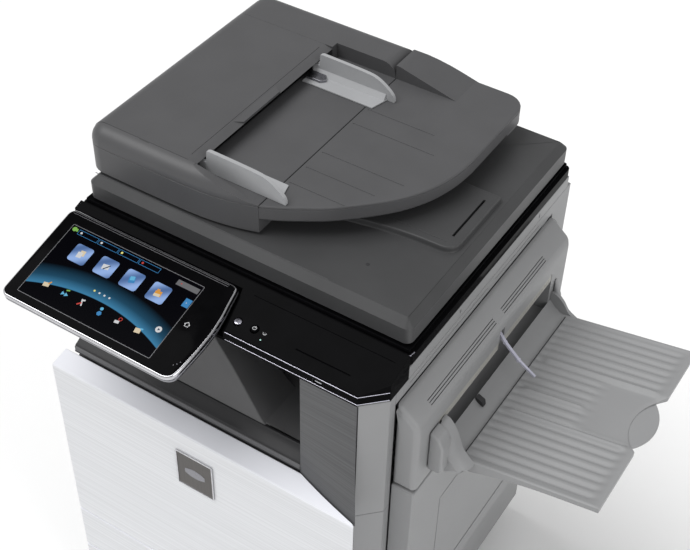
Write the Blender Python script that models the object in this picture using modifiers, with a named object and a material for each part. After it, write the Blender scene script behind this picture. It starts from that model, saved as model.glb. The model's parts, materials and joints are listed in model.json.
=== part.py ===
"""Floor-standing colour photocopier with a document feeder, as an assembly of named pieces.

The machine frame has X to the machine's right, -Y to its front and +Z up, with X = 0 at the middle of
the cabinet and Z = 0 on the floor. The whole assembly hangs from one empty, which moves the machine
frame so that the world origin is under the centre of the object's bounding box.
"""

import math

import bmesh
import bpy
from mathutils import Matrix, Vector

# ---- Driving dimensions, in metres ----
BODY_HALF = 0.304            # half of the cabinet's width
BODY_REAR = 0.262            # rear face of the chassis
COVER_REAR = 0.275           # outer face of the rear cover
FRONT = -0.352               # plane behind the front cover, and the bezel's front edge
FACE = -0.390                # front face of the front cover and of the drawers
FRAME_FRONT = -0.300         # front of the chassis
GAP = 0.0005                 # between pieces that touch on the real machine
REVEAL = 0.003               # visible gap round a cover that opens

FLOOR_CLEAR = 0.060          # underside of the base frame
BASE_TOP = 0.072             # top of the base frame
DRAWER_HEIGHT = 0.112
DRAWER_PITCH = 0.115
DOOR_LOW = 0.302             # bottom of the front cover
DOOR_TOP = 0.6954            # top front edge of the front cover
SILL = 0.703                 # underside of the inner exit tray
BAY_TOP = 0.918              # underside of the scanner
RIM_TOP = 0.970              # top of the scanner rim, the platen's level
RIM_LOW = 0.942
SCAN_FRONT = -0.266
SCAN_REAR = 0.255

BAY_RIGHT = 0.172            # right wall of the inner exit bay
CORNER_X = 0.270             # where the right front corner starts its chamfer
CORNER_Y = -0.317
EXIT_X = 0.345               # outer face of the right exit unit and of the right door
EXIT_LOW = 0.715
EXIT_TOP = 0.892

LID_LOW = 0.9735
LID_TOP = 1.016
LID_HINGE = (0.0, 0.258, 0.985)
FEEDER_TOP = 1.100
FEEDER_LEFT = -0.302
SLOT_X = -0.103              # right edge of the feeder's top cover

TRAY_TILT = math.radians(10.0)
TRAY_ROOT = (0.372, 0.742)   # X and Z where the right exit tray's ramp starts
TRAY_LENGTH = 0.236
TRAY_FRONT = -0.221
TRAY_REAR = 0.151

PANEL_TILT = math.radians(14.0)
PANEL_FRONT = -0.467         # front edge of the touch panel's top
PANEL_LENGTH = 0.181         # from front to back along the tilt
PANEL_THICK = 0.020
PANEL_LEVEL = 0.9278         # height of the top's front edge
PANEL_PIVOT = (-0.130, -0.388, 0.908)

TRAY_BULGE = 0.009           # how far the thumb lip stands out past the tray's straight end
TRAY_END = TRAY_ROOT[0] + TRAY_LENGTH * math.cos(TRAY_TILT)
X_MIDDLE = (TRAY_END + TRAY_BULGE - BODY_HALF) / 2    # middle of the bounding box in the machine frame
Y_MIDDLE = (PANEL_FRONT + COVER_REAR) / 2

COLOURS = {
    "white": ((0.80, 0.81, 0.83), 0.45, 0.0),
    "light_grey": ((0.28, 0.28, 0.28), 0.5, 0.0),
    "mid_grey": ((0.13, 0.13, 0.135), 0.45, 0.0),
    "dark_grey": ((0.045, 0.046, 0.047), 0.45, 0.0),
    "gloss_black": ((0.008, 0.008, 0.009), 0.1, 0.0),
    "display": ((0.01, 0.015, 0.03), 0.05, 0.0),
    "guide_grey": ((0.45, 0.45, 0.46), 0.4, 0.0),
    "steel": ((0.55, 0.56, 0.58), 0.35, 1.0),
    "frame_steel": ((0.35, 0.36, 0.37), 0.5, 0.8),
    "rubber": ((0.03, 0.03, 0.03), 0.8, 0.0),
    "glass": ((0.55, 0.62, 0.62), 0.05, 0.0),
    "pad_white": ((0.85, 0.85, 0.85), 0.6, 0.0),
    "cyan": ((0.02, 0.30, 0.55), 0.4, 0.0),
    "magenta": ((0.55, 0.03, 0.22), 0.4, 0.0),
    "yellow": ((0.70, 0.52, 0.03), 0.4, 0.0),
    "ink_black": ((0.02, 0.02, 0.02), 0.4, 0.0),
    "clear": ((0.75, 0.76, 0.80), 0.15, 0.0),
}


# ---- Scene, collections and materials ----
def clear_scene():
    for obj in list(bpy.data.objects):
        bpy.data.objects.remove(obj, do_unlink=True)


def new_collection(name):
    collection = bpy.data.collections.new(name)
    bpy.context.scene.collection.children.link(collection)
    return collection


def material(name):
    found = bpy.data.materials.get(name)
    if found:
        return found
    colour, roughness, metallic = COLOURS[name]
    made = bpy.data.materials.new(name)
    made.use_nodes = True
    shader = made.node_tree.nodes["Principled BSDF"]
    shader.inputs["Base Color"].default_value = (*colour, 1.0)
    shader.inputs["Roughness"].default_value = roughness
    shader.inputs["Metallic"].default_value = metallic
    return made


clear_scene()
PARTS = new_collection("photocopier")
CUTTERS = new_collection("cutters")


# ---- Bodies: one empty for each thing that moves, with its origin on the joint's axis ----
def new_body(name, pivot=(0.0, 0.0, 0.0), parent=None):
    """An empty at a point of the machine frame. What hangs from it moves together."""
    empty = bpy.data.objects.new(name, None)
    PARTS.objects.link(empty)
    empty["pivot"] = pivot
    if parent:
        empty.parent = parent
        empty.location = Vector(pivot) - Vector(parent["pivot"])
    return empty


ROOT = new_body("cabinet")
ROOT.location = (-X_MIDDLE, -Y_MIDDLE, 0.0)


# ---- Shapes, with their vertices in the machine frame ----
def finish(name, bm, finish_name=None, body=None, place=None):
    """Turns a bmesh into a part on a body, or into a hidden cutter if it has no finish."""
    bmesh.ops.recalc_face_normals(bm, faces=bm.faces)
    if place:
        bmesh.ops.transform(bm, matrix=place, verts=bm.verts)
    mesh = bpy.data.meshes.new(name)
    bm.to_mesh(mesh)
    bm.free()
    obj = bpy.data.objects.new(name, mesh)
    carrier = body or ROOT
    obj.parent = carrier
    obj.location = -Vector(carrier["pivot"])
    if finish_name:
        PARTS.objects.link(obj)
        mesh.materials.append(material(finish_name))
    else:
        CUTTERS.objects.link(obj)
        obj.hide_render = True
        obj.display_type = "WIRE"
    return obj


def box(name, low, high, finish_name=None, body=None):
    """A box between two corners."""
    low, high = Vector(low), Vector(high)
    bm = bmesh.new()
    bmesh.ops.create_cube(bm, size=1.0)
    bmesh.ops.scale(bm, vec=high - low, verts=bm.verts)
    bmesh.ops.translate(bm, vec=(low + high) / 2, verts=bm.verts)
    return finish(name, bm, finish_name, body)


def prism(name, outline, axis, start, end, finish_name=None, body=None, place=None):
    """A flat outline drawn across an axis ('X', 'Y' or 'Z') and extruded along it from start to end."""
    point = {
        "X": lambda a, b, t: (t, a, b),
        "Y": lambda a, b, t: (a, t, b),
        "Z": lambda a, b, t: (a, b, t),
    }[axis]
    bm = bmesh.new()
    face = bm.faces.new([bm.verts.new(point(a, b, start)) for a, b in outline])
    grown = bmesh.ops.extrude_face_region(bm, geom=[face])
    moved = [v for v in grown["geom"] if isinstance(v, bmesh.types.BMVert)]
    bmesh.ops.translate(bm, vec=point(0.0, 0.0, end - start), verts=moved)
    return finish(name, bm, finish_name, body, place)


def rod(name, centre, axis, radius, length, finish_name=None, body=None, segments=24):
    """A round bar centred on a point, turned so that one of its facets faces straight down."""
    bm = bmesh.new()
    bmesh.ops.create_cone(
        bm, cap_ends=True, segments=segments, radius1=radius, radius2=radius, depth=length
    )
    turn = {
        "X": Matrix.Rotation(math.pi / 2, 3, "Y"),
        "Y": Matrix.Rotation(math.pi / 2, 3, "X"),
        "Z": Matrix.Identity(3),
    }[axis]
    half_facet = Matrix.Rotation(math.pi / segments, 4, "Z")
    bmesh.ops.transform(bm, matrix=turn.to_4x4() @ half_facet, verts=bm.verts)
    bmesh.ops.translate(bm, vec=centre, verts=bm.verts)
    obj = finish(name, bm, finish_name, body)
    obj.data.shade_smooth()
    obj.data.set_sharp_from_angle(angle=math.radians(40))
    return obj


def boolean(obj, other, operation="DIFFERENCE"):
    modifier = obj.modifiers.new(operation.lower(), "BOOLEAN")
    modifier.object = other
    modifier.operation = operation
    return obj


def cut_box(obj, low, high):
    return boolean(obj, box(obj.name + "_cutter", low, high))


def bevel(obj, width, segments=1, angle=50.0):
    modifier = obj.modifiers.new("bevel", "BEVEL")
    modifier.width = width
    modifier.segments = segments
    modifier.limit_method = "ANGLE"
    modifier.angle_limit = math.radians(angle)
    return obj


def arc(centre, radius, start, end, steps):
    """Points of an arc in degrees, both ends included."""
    turns = [math.radians(start + (end - start) * i / steps) for i in range(steps + 1)]
    return [(centre[0] + radius * math.cos(t), centre[1] + radius * math.sin(t)) for t in turns]


# ---- Stand: base frame and casters ----
CASTER_X = 0.245
CASTER_FRONT = -0.255
CASTER_REAR = 0.205
WHEEL_RADIUS = 0.0225
WHEEL_FACETS = 28
WHEEL_LEVEL = WHEEL_RADIUS * math.cos(math.pi / WHEEL_FACETS)    # axle height, standing on one facet
WHEEL_WIDTH = 0.020
FORK_TRAIL = 0.012           # how far the wheel trails behind its swivel axis


def fork_outline(y, trail):
    """Side view of a caster fork: round its axle, straight up to its plate."""
    axle = (y + trail, WHEEL_LEVEL)
    return [(y + 0.016, 0.052), (y - 0.016, 0.052), *arc(axle, 0.008, 180, 360, 6)]


def fork(name, x, y, trail, top, body, finish_name=None):
    """Two cheeks and a top plate, joined, with the wheel's room between them."""
    made = prism(name, fork_outline(y, trail), "X", x - 0.016, x + 0.016, finish_name, body)
    plate = rod(name + "_plate", (x, y, (0.0512 + top) / 2), "Z", 0.0175, top - 0.0512, body=body, segments=16)
    boolean(made, plate, "UNION")
    return cut_box(made, (x - 0.0115, y - 0.04, -0.01), (x + 0.0115, y + 0.06, 0.0475))


def stand():
    """Base frame with the two fixed rear casters' brackets, and the two swivelling front casters."""
    base = box("base_frame", (-0.290, -0.340, FLOOR_CLEAR), (0.290, 0.255, BASE_TOP), "dark_grey")
    for side, x in (("left", -CASTER_X), ("right", CASTER_X)):
        bracket = fork("rear_bracket_" + side, x, CASTER_REAR, 0.0, BASE_TOP - 0.001, ROOT)
        boolean(base, bracket, "UNION")
        wheel("rear_caster_wheel_" + side, (x, CASTER_REAR, WHEEL_LEVEL), ROOT)
        swivel = new_body("caster_front_" + side, (x, CASTER_FRONT, 0.052), ROOT)
        fork("front_caster_fork_" + side, x, CASTER_FRONT, FORK_TRAIL, FLOOR_CLEAR - GAP, swivel, "steel")
        spin = (x, CASTER_FRONT + FORK_TRAIL, WHEEL_LEVEL)
        wheel("front_caster_wheel_" + side, spin, swivel)


def wheel(name, centre, carrier):
    spin = new_body(name + "_spin", centre, carrier)
    made = rod(name, centre, "X", WHEEL_RADIUS, WHEEL_WIDTH, "rubber", spin, WHEEL_FACETS)
    bevel(made, 0.002)


# ---- Cabinet: chassis, covers and the pieces round the inner exit bay ----
BAY_HALF = 0.285             # half width of the drawer bay and of the engine bay
DRAWER_BAY_TOP = 0.298
ENGINE_LOW = 0.304
ENGINE_TOP = 0.692
CHASSIS_HALF = 0.298


def chassis():
    """Sheet steel box with a drawer bay, an engine bay and the inner exit bay, all open at the front."""
    made = box("chassis", (-CHASSIS_HALF, FRAME_FRONT, BASE_TOP + GAP), (CHASSIS_HALF, BODY_REAR, BAY_TOP - GAP),
               "frame_steel")
    cut_box(made, (-BAY_HALF, -0.4, BASE_TOP + 0.003), (BAY_HALF, 0.235, DRAWER_BAY_TOP))
    cut_box(made, (-BAY_HALF, -0.4, ENGINE_LOW), (BAY_HALF, 0.235, ENGINE_TOP))
    cut_box(made, (-BAY_HALF, -0.4, SILL - GAP), (BAY_RIGHT, 0.205, 1.0))
    cut_box(made, (0.200, -0.235, SILL + 0.010), (BAY_HALF, 0.150, 0.895))
    cut_box(made, (0.250, -0.245, 0.330), (0.320, 0.150, 0.680))
    cut_box(made, (0.250, -0.205, 0.764), (0.320, 0.135, 0.812))
    cut_box(made, (0.150, -0.200, 0.800), (0.220, 0.130, 0.830))
    cut_box(made, (0.210, -0.200, 0.680), (0.276, 0.130, 0.720))


def outer_covers():
    top = BAY_TOP - GAP
    box("left_cover", (-BODY_HALF, FRAME_FRONT, FLOOR_CLEAR), (-CHASSIS_HALF - GAP, 0.268, top),
               "light_grey")
    rear = box("rear_cover", (-CHASSIS_HALF, BODY_REAR + GAP, FLOOR_CLEAR), (CHASSIS_HALF, COVER_REAR, 0.900),
               "light_grey")
    bevel(rear, 0.004)
    cut_box(rear, (-0.24, 0.20, 0.11), (-0.19, 0.30, 0.15))
    inlet = box("power_inlet", (-0.2395, 0.2630, 0.1105), (-0.1905, 0.2735, 0.1495), "ink_black")
    cut_box(inlet, (-0.230, 0.2660, 0.120), (-0.200, 0.30, 0.140))
    right_cover(top)


def right_cover(top):
    """C-shaped cover: below the side door, behind it, and above the exit unit."""
    rear, column, low = 0.268, 0.205, 0.305
    outline = [(FRAME_FRONT, FLOOR_CLEAR), (rear, FLOOR_CLEAR), (rear, top), (FRAME_FRONT, top),
               (FRAME_FRONT, EXIT_TOP + REVEAL), (column, EXIT_TOP + REVEAL), (column, low), (FRAME_FRONT, low)]
    prism("right_cover", outline, "X", CHASSIS_HALF + GAP, BODY_HALF, "light_grey")


def corner_cover():
    """Chamfered post at the right front corner, from the base frame up to the bezel."""
    inner, rear = CORNER_X + 2 * GAP, FRAME_FRONT - GAP
    outline = [(inner, FRONT + 0.001), (BODY_HALF, CORNER_Y), (BODY_HALF, rear), (inner, rear)]
    made = prism("corner_cover", outline, "Z", BASE_TOP + GAP, BAY_TOP - GAP, "light_grey")
    bevel(made, 0.0015)


SWELL = 0.034                # how far the dark panel's lower right corner comes forward
FLARE = 0.028                # how much further right the front faces reach than the plane behind them
PANEL_LOW = 0.6925           # underside of the dark panel
LEDGE = 0.690                # top of the front cover's ledge below the dark panel


def flare_cutter(name, body=None):
    """Cuts a front piece's right end along the slanting plane beside the corner cover."""
    edge = CORNER_X - REVEAL
    slope = FLARE / (FRONT - FACE)
    outline = [(edge - slope * 0.05, FRONT + 0.05), (edge + slope * 0.06, FRONT - 0.06), (0.40, FRONT - 0.06),
               (0.40, FRONT + 0.05)]
    return prism(name, outline, "Z", 0.05, 0.95, None, body)


def panel_face(across, up):
    """Plan position of the dark panel's front, at shares of its width and height from the lower left."""
    forward = SWELL * across * (1.0 - up) ** 2
    left = BAY_RIGHT + GAP
    x = left + across * (CORNER_X - left)
    return x + forward * across * FLARE / (FRONT - FACE), FRONT - forward


def front_right_panel():
    """Dark panel beside the exit bay. Its lower right corner swells forward to the front cover's face."""
    high = BAY_TOP - GAP
    bm = bmesh.new()
    bmesh.ops.create_grid(bm, x_segments=6, y_segments=10, size=0.5)
    for vert in bm.verts:
        across, up = vert.co.x + 0.5, vert.co.y + 0.5
        vert.co = (*panel_face(across, up), PANEL_LOW + up * (high - PANEL_LOW))
    grown = bmesh.ops.extrude_face_region(bm, geom=bm.faces[:])
    for item in grown["geom"]:
        if isinstance(item, bmesh.types.BMVert):
            item.co.x = min(item.co.x, CORNER_X)
            item.co.y = FRONT + 0.001
    made = finish("front_right_panel", bm, "mid_grey")
    slab = box("slab_union", (BAY_RIGHT + GAP, FRONT + 0.0005, PANEL_LOW), (CORNER_X, FRAME_FRONT - GAP, high))
    return boolean(made, slab, "UNION")


def inner_exit_tray():
    """Tray under the scanner: a floor that rises to the left, and a leaning fascia in front of it."""
    left, right, rear = -BAY_HALF + GAP, BAY_RIGHT - GAP, 0.204
    face = FRONT + 0.001
    floor = [(left, SILL), (right, SILL), (right, SILL + 0.020), (right - 0.060, SILL + 0.026),
             (left, SILL + 0.105)]
    made = prism("inner_exit_tray", floor, "Y", face, rear, "dark_grey")
    rise = [(left, SILL + 0.002), (0.150, SILL + 0.002), (0.140, SILL + 0.0195), *arc((0.150, 0.783), 0.060, 254, 218, 5),
            (0.012, 0.855), (-0.012, 0.882), (-0.040, 0.894), (-0.075, 0.900), (left, 0.900)]
    boolean(made, prism("fascia_union", rise, "Y", face + 0.0001, -0.235), "UNION")
    lean = [(face - 0.01, SILL + 0.016), (face + 0.020, SILL + 0.016), (-0.262, 0.902), (-0.262, 1.0),
            (face - 0.01, 1.0)]
    return boolean(made, prism("lean_cutter", lean, "X", -0.30, BAY_RIGHT + 0.01))


TONER_X = (-0.205, -0.095, 0.015, 0.125)
TONER_NAMES = ("yellow", "magenta", "cyan", "ink_black")
TONER_Z = 0.630


def inner_front_panel():
    """Panel behind the front cover, with a window for each toner cartridge and one for the imaging unit."""
    made = box("inner_front_panel", (-BAY_HALF + GAP, -0.345, ENGINE_LOW + 0.0015),
               (CORNER_X - GAP, FRAME_FRONT - GAP, LEDGE), "dark_grey")
    for x in TONER_X:
        cut_box(made, (x - 0.042, -0.36, 0.590), (x + 0.042, -0.29, 0.670))
    return cut_box(made, (-0.260, -0.36, 0.420), (0.235, -0.29, 0.575))


# ---- Print engine inside the cabinet ----
def engine():
    for x, colour in zip(TONER_X, TONER_NAMES):
        outline = [*arc((x, TONER_Z), 0.034, 0, 180, 8), (x - 0.034, 0.596), (x + 0.034, 0.596)]
        prism("toner_cartridge_" + colour.replace("ink_", ""), outline, "Y", -0.335, 0.120, colour)
    belt = [*arc((-0.205, 0.545), 0.020, 90, 270, 6), *arc((0.155, 0.545), 0.020, -90, 90, 6)]
    prism("transfer_belt", belt, "Y", -0.280, 0.100, "ink_black")
    unit = box("imaging_unit", (-0.255, -0.320, 0.430), (0.170, 0.110, 0.515), "dark_grey")
    for x in TONER_X:
        cut_box(unit, (x - 0.012, -0.275, 0.500), (x + 0.012, 0.095, 0.53))
    box("laser_unit", (-0.250, -0.270, 0.335), (0.165, 0.150, 0.400), "ink_black")
    for name, x, finish_name in (("fuser_roller", 0.222, "rubber"), ("pressure_roller", 0.2595, "steel")):
        spin = new_body(name + "_spin", (x, -0.042, 0.640), ROOT)
        rod(name, (x, -0.042, 0.640), "Y", 0.0185, 0.330, finish_name, spin, segments=24)


# ---- Scanner ----
def scanner():
    housing = box("scanner_housing", (-BODY_HALF, SCAN_FRONT, BAY_TOP), (BODY_HALF, SCAN_REAR, RIM_LOW - GAP),
                  "light_grey")
    cut_box(housing, (-0.290, -0.235, BAY_TOP + 0.003), (0.290, 0.235, 1.0))
    rim = box("scanner_rim", (-BODY_HALF, SCAN_FRONT, RIM_LOW), (BODY_HALF, SCAN_REAR, RIM_TOP), "gloss_black")
    bevel(rim, 0.0015)
    cut_box(rim, (-0.262, -0.215, 0.9), (0.262, 0.215, 1.1))
    cut_box(rim, (-0.272, -0.225, 0.9635), (0.272, 0.225, 1.1))
    cut_box(rim, (-0.290, -0.235, 0.9), (0.290, 0.235, 0.9590))
    box("platen_glass", (-0.2715, -0.2245, 0.9640), (0.2715, 0.2245, 0.9690), "glass")
    carriage = new_body("lamp_carriage_slide", (-0.200, 0.0, 0.940), ROOT)
    box("lamp_carriage", (-0.228, -0.220, 0.9225), (-0.176, 0.220, 0.9580), "dark_grey", carriage)
    mirrors = new_body("mirror_carriage_slide", (-0.248, 0.0, 0.940), ROOT)
    box("mirror_carriage", (-0.264, -0.220, 0.9225), (-0.234, 0.220, 0.9500), "dark_grey", mirrors)
    for side, x in (("left", -0.200), ("right", 0.200)):
        lid_hinge("lid_hinge_" + side, x)


def lid_hinge(name, x):
    """Bracket behind the scanner that carries the lid, with its barrel on the lid's axis."""
    made = box(name, (x - 0.030, SCAN_REAR + GAP, 0.925), (x + 0.030, 0.2655, 0.984), "dark_grey")
    barrel = rod(name + "_barrel", (x, 0.2620, LID_HINGE[2]), "X", 0.0062, 0.0598, segments=16)
    boolean(made, barrel, "UNION")


# ---- Operation bezel and touch panel ----
BEZEL_REAR = SCAN_FRONT - GAP
BEZEL_TOP = 0.9670
BEZEL_EDGE = 0.9395
KEYS = {"power_key": (0.0500, -0.3310, 0.0065), "power_save_key": (0.079, -0.330, 0.0065)}
PORT = ((0.195, -0.36, 0.9225), (0.213, -0.345, 0.9325))


def bezel_level(y):
    """Height of the bezel's sloping top at a depth."""
    return BEZEL_EDGE + (y - FRONT) / (BEZEL_REAR - FRONT) * (BEZEL_TOP - BEZEL_EDGE)


def operation_bezel():
    """Black front deck: sloping top, chamfered right corner, cut down at the left for the touch panel."""
    profile = [(FRONT, BAY_TOP), (FRONT, BEZEL_EDGE), (BEZEL_REAR, BEZEL_TOP), (BEZEL_REAR, BAY_TOP)]
    made = prism("operation_bezel", profile, "X", -BODY_HALF, BODY_HALF, "gloss_black")
    bevel(made, 0.001)
    corner = [(CORNER_X, -0.40), (0.35, -0.40), (0.35, CORNER_Y), (BODY_HALF, CORNER_Y), (CORNER_X, FRONT)]
    boolean(made, prism("bezel_corner_cutter", corner, "Z", 0.9, 1.0))
    seat = [(-0.31, -0.36), (0.0425, -0.36), (0.0425, -0.350), (0.0390, -0.330), (0.0310, -0.303),
            (0.0240, -0.2825), (-0.31, -0.2825)]
    boolean(made, prism("panel_seat_cutter", seat, "Z", 0.924, 1.0))
    cut_box(made, *PORT)
    for name, (x, y, radius) in KEYS.items():
        level = bezel_level(y)
        boolean(made, rod("key_hole", (x, y, level), "Z", radius + 0.0008, 0.020, segments=24))
        key = new_body(name.replace("_key", "_push"), (x, y, level), ROOT)
        rod(name, (x, y, level - 0.0025), "Z", radius, 0.010, "guide_grey", key, segments=24)


PANEL_SCREEN = (-0.148, 0.0860)          # centre of the glass, across and from the front edge
SCREEN_SIZE = (0.252, 0.137)
CORNERS = ((-1, -1), (1, -1), (1, 1), (-1, 1))


def panel_outline():
    """Plan of the touch panel, from its front edge backwards, with a bulge down its right side."""
    left, back, corner = -0.299, PANEL_LENGTH, 0.014
    sweep = [(-0.006, 0.0), (0.014, 0.006), (0.028, 0.021), (0.038, 0.044), (0.0420, 0.070), (0.0425, 0.098),
             (0.0385, 0.130), (0.0300, 0.160), (0.0220, back - 0.004), (0.0120, back)]
    return [*arc((left + corner, corner), corner, 180, 270, 4), *sweep,
            *arc((left + corner, back - corner), corner, 90, 180, 4)]


def touch_panel():
    place = Matrix.Translation((0.0, PANEL_FRONT, PANEL_LEVEL)) @ Matrix.Rotation(PANEL_TILT, 4, "X")
    body = new_body("touch_panel", PANEL_PIVOT, ROOT)
    shell = prism("control_panel", panel_outline(), "Z", -PANEL_THICK, 0.0, "gloss_black", body, place)
    bevel(shell, 0.0015, 2, 70)
    (x, y), (width, depth) = PANEL_SCREEN, SCREEN_SIZE
    for grow, top in ((0.0006, 0.01), (0.0, -0.0004)):
        outline = [(x + i * (width / 2 + grow), y + j * (depth / 2 + grow)) for i, j in CORNERS]
        if grow:
            boolean(shell, prism("screen_cutter", outline, "Z", -0.0030, top, None, body, place))
        else:
            prism("touch_screen", outline, "Z", -0.0025, top, "display", body, place)
    for x in (-0.214, -0.046):
        lug = [(0.050, -PANEL_THICK + 0.001), (0.105, -PANEL_THICK + 0.001), (0.084, -0.041), (0.071, -0.041)]
        boolean(shell, prism("lug_union", lug, "X", x - 0.010, x + 0.010, None, body, place), "UNION")
    arm = [(FRONT - GAP, 0.900), (FRONT - GAP, 0.9175), (-0.368, 0.9175),
           *arc(PANEL_PIVOT[1:], 0.007, 60, 290, 8)]
    prism("panel_arm", arm, "X", -0.200, -0.060, "dark_grey")


# ---- Front cover, with its badge ----
DOOR_PIVOT = (0.0, -0.3845, 0.3105)


def front_cover():
    """Hollow cover whose top slopes back to the sill, with a low ledge under the dark panel."""
    body = new_body("front_door", DOOR_PIVOT, ROOT)
    outline = [(FACE, DOOR_LOW), (FACE, DOOR_TOP), (FRONT - GAP, SILL - 0.0006), (FRONT - GAP, DOOR_LOW)]
    right = CORNER_X - REVEAL
    made = prism("front_cover", outline, "X", -BODY_HALF, right + FLARE, "white", body)
    boolean(made, flare_cutter("front_cover_flare", body))
    bevel(made, 0.002)
    play = 0.001
    edge = [panel_face(i / 6, 0.0) for i in range(7)]
    plan = [(BAY_RIGHT - 0.002, FRONT - play)] + [(x, y - play) for x, y in edge]
    plan += [(0.330, edge[-1][1] - play), (0.330, -0.30), (BAY_RIGHT - 0.002, -0.30)]
    boolean(made, prism("ledge_cutter", plan, "Z", LEDGE, 0.75, None, body))
    wall = 0.005
    inside = prism("hollow_cutter", [
        (-BODY_HALF + wall, DOOR_LOW + wall), (right - wall, DOOR_LOW + wall), (right - wall, LEDGE - 0.002),
        (-BODY_HALF + wall, LEDGE - 0.002)], "Y", FACE + wall, -0.30, None, body)
    boolean(made, inside)
    x, z = -0.008, 0.609
    badge = box("badge_plate", (x - 0.037, FACE - 0.0028, z - 0.042), (x + 0.037, FACE - 0.0004, z + 0.042),
                "steel", body)
    bevel(badge, 0.001)


# ---- Paper drawers ----
def drawer(number, low):
    """Front with a finger pull, a tray behind it, and the plate that lifts the paper."""
    name = f"drawer_{number}"
    body = new_body(name + "_slide", (0.0, FRONT, low), ROOT)
    top = low + DRAWER_HEIGHT
    right = CORNER_X - REVEAL + FLARE
    front = box(name + "_front", (-BODY_HALF, FACE, low), (right, FRONT - GAP, top), "white", body)
    boolean(front, flare_cutter(name + "_flare", body))
    bevel(front, 0.002)
    cut_box(front, (-0.120, -0.410, top - 0.040), (0.080, FACE + 0.022, top - 0.014))
    tray = box(name + "_tray", (-0.265, FRONT, low + 0.006), (0.262, 0.195, top - 0.022), "mid_grey", body)
    cut_box(tray, (-0.259, FRONT + 0.006, low + 0.0095), (0.256, 0.189, 1.0))
    lift = new_body(name + "_lift", (-0.245, 0.0, low + 0.0125), body)
    box(name + "_lift_plate", (-0.250, -0.300, low + 0.0115), (0.200, 0.140, low + 0.0135), "steel", lift)


# ---- Right side: exit unit, exit tray, door and bypass tray ----
MOUTH = (-0.238, 0.140, 0.745, 0.828)    # front, rear, low and high edge of the mouth
SHOULDER = 0.866                         # where the exit unit's outer face turns to its sloping top
EXIT_REAR = 0.204


def exit_unit():
    """Bulge on the right side that turns finished sheets out to the tray."""
    inner = BODY_HALF + GAP
    profile = [(inner, EXIT_LOW), (EXIT_X, EXIT_LOW), (EXIT_X, SHOULDER - 0.020), (EXIT_X - 0.006, SHOULDER),
               (inner + 0.006, EXIT_TOP), (inner, EXIT_TOP)]
    made = prism("right_exit_unit", profile, "Y", FRAME_FRONT - GAP, EXIT_REAR, "light_grey")
    bevel(made, 0.003, 2, 60)
    cut_box(made, (0.318, MOUTH[0], MOUTH[2]), (0.400, MOUTH[1], MOUTH[3]))
    cut_box(made, (0.290, -0.205, 0.764), (0.330, 0.130, 0.812))
    return cut_box(made, (0.326, SENSOR_Y - 0.008, 0.822), (0.360, SENSOR_Y + 0.008, 0.850))


WING = 0.030                 # how far the tray's end brackets reach past its sides
THUMB_Y = -0.030             # middle of the thumb notch in the tray's right end
THUMB_RADIUS = 0.085
THUMB_OUT = 0.055            # from the tray's end to the notch's centre
LIP_RADIUS = 0.075           # of the lip that closes the notch from below


def exit_tray():
    """Tray that rises away from the machine, with an apron up to the mouth and a bracket at each end."""
    inner = EXIT_X + GAP
    x0, z0 = TRAY_ROOT
    x1, z1 = TRAY_END, z0 + TRAY_LENGTH * math.sin(TRAY_TILT)
    outline = [(inner, z0 + 0.020), (x0, z0), (x1, z1), (x1, z1 - 0.010), (x0 + 0.03, z0 - 0.022),
               (x0, z0 - 0.022), (inner, z0 - 0.016)]
    made = prism("right_exit_tray", outline, "Y", TRAY_FRONT, TRAY_REAR, "light_grey")
    thumb = rod("thumb_cutter", (x1 + THUMB_OUT, THUMB_Y, z1), "Z", THUMB_RADIUS, 0.10, segments=40)
    boolean(made, thumb)
    lip = arc((x1 + TRAY_BULGE - LIP_RADIUS, THUMB_Y), LIP_RADIUS, -62, 62, 14)
    boolean(made, prism("thumb_lip", lip, "Z", z1 - 0.0125, z1 - 0.0085), "UNION")
    wing = [(inner, 0.724), (x0, 0.724), (x0 + 0.020, z0 + 0.006), (x0 + 0.004, 0.790), (x0 - 0.008, 0.812),
            (inner, 0.822)]
    for y0, y1 in ((TRAY_FRONT - WING, TRAY_FRONT + 0.003), (TRAY_REAR - 0.003, TRAY_REAR + WING)):
        boolean(made, prism("wing_union", wing, "Y", y0, y1), "UNION")
    return made


SENSOR_Y = -0.040
SENSOR_PIVOT = (0.338, SENSOR_Y, 0.837)


def sensor_arm():
    """Lever that hangs from the mouth's upper edge over the tray and rises with the stack of sheets."""
    body = new_body("paper_sensor", SENSOR_PIVOT, ROOT)
    outline = [(0.336, 0.841), (0.341, 0.841), (0.408, 0.7720), (0.406, 0.7690), (0.336, 0.835)]
    prism("paper_sensor_arm", outline, "Y", SENSOR_Y - 0.0025, SENSOR_Y + 0.0025, "clear", body)


DOOR_HINGE = (0.3245, 0.184)


def right_door():
    """Door over the paper path, round at its rear edge where it hinges, with a pocket for the bypass tray."""
    body = new_body("side_door", (*DOOR_HINGE, 0.500), ROOT)
    inner = BODY_HALF + GAP
    profile = [(inner, FRAME_FRONT - GAP), (EXIT_X, FRAME_FRONT - GAP),
               *arc(DOOR_HINGE, EXIT_X - DOOR_HINGE[0], 0, 150, 6), (inner, DOOR_HINGE[1])]
    made = prism("right_door", profile, "Z", 0.308, EXIT_LOW - REVEAL, "light_grey", body)
    bevel(made, 0.003, 2, 60)
    cut_box(made, (0.3300, -0.205, 0.350), (0.400, 0.135, 0.600))
    cut_box(made, (0.290, -0.260, 0.330), (0.318, 0.150, 0.690))
    fold = new_body("bypass", (0.3400, -0.035, 0.3590), body)
    flap = box("bypass_tray", (0.3335, -0.202, 0.3530), (EXIT_X - 0.0005, 0.132, 0.597), "light_grey", fold)
    cut_box(flap, (0.338, -0.080, 0.560), (0.400, 0.010, 0.588))


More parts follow.
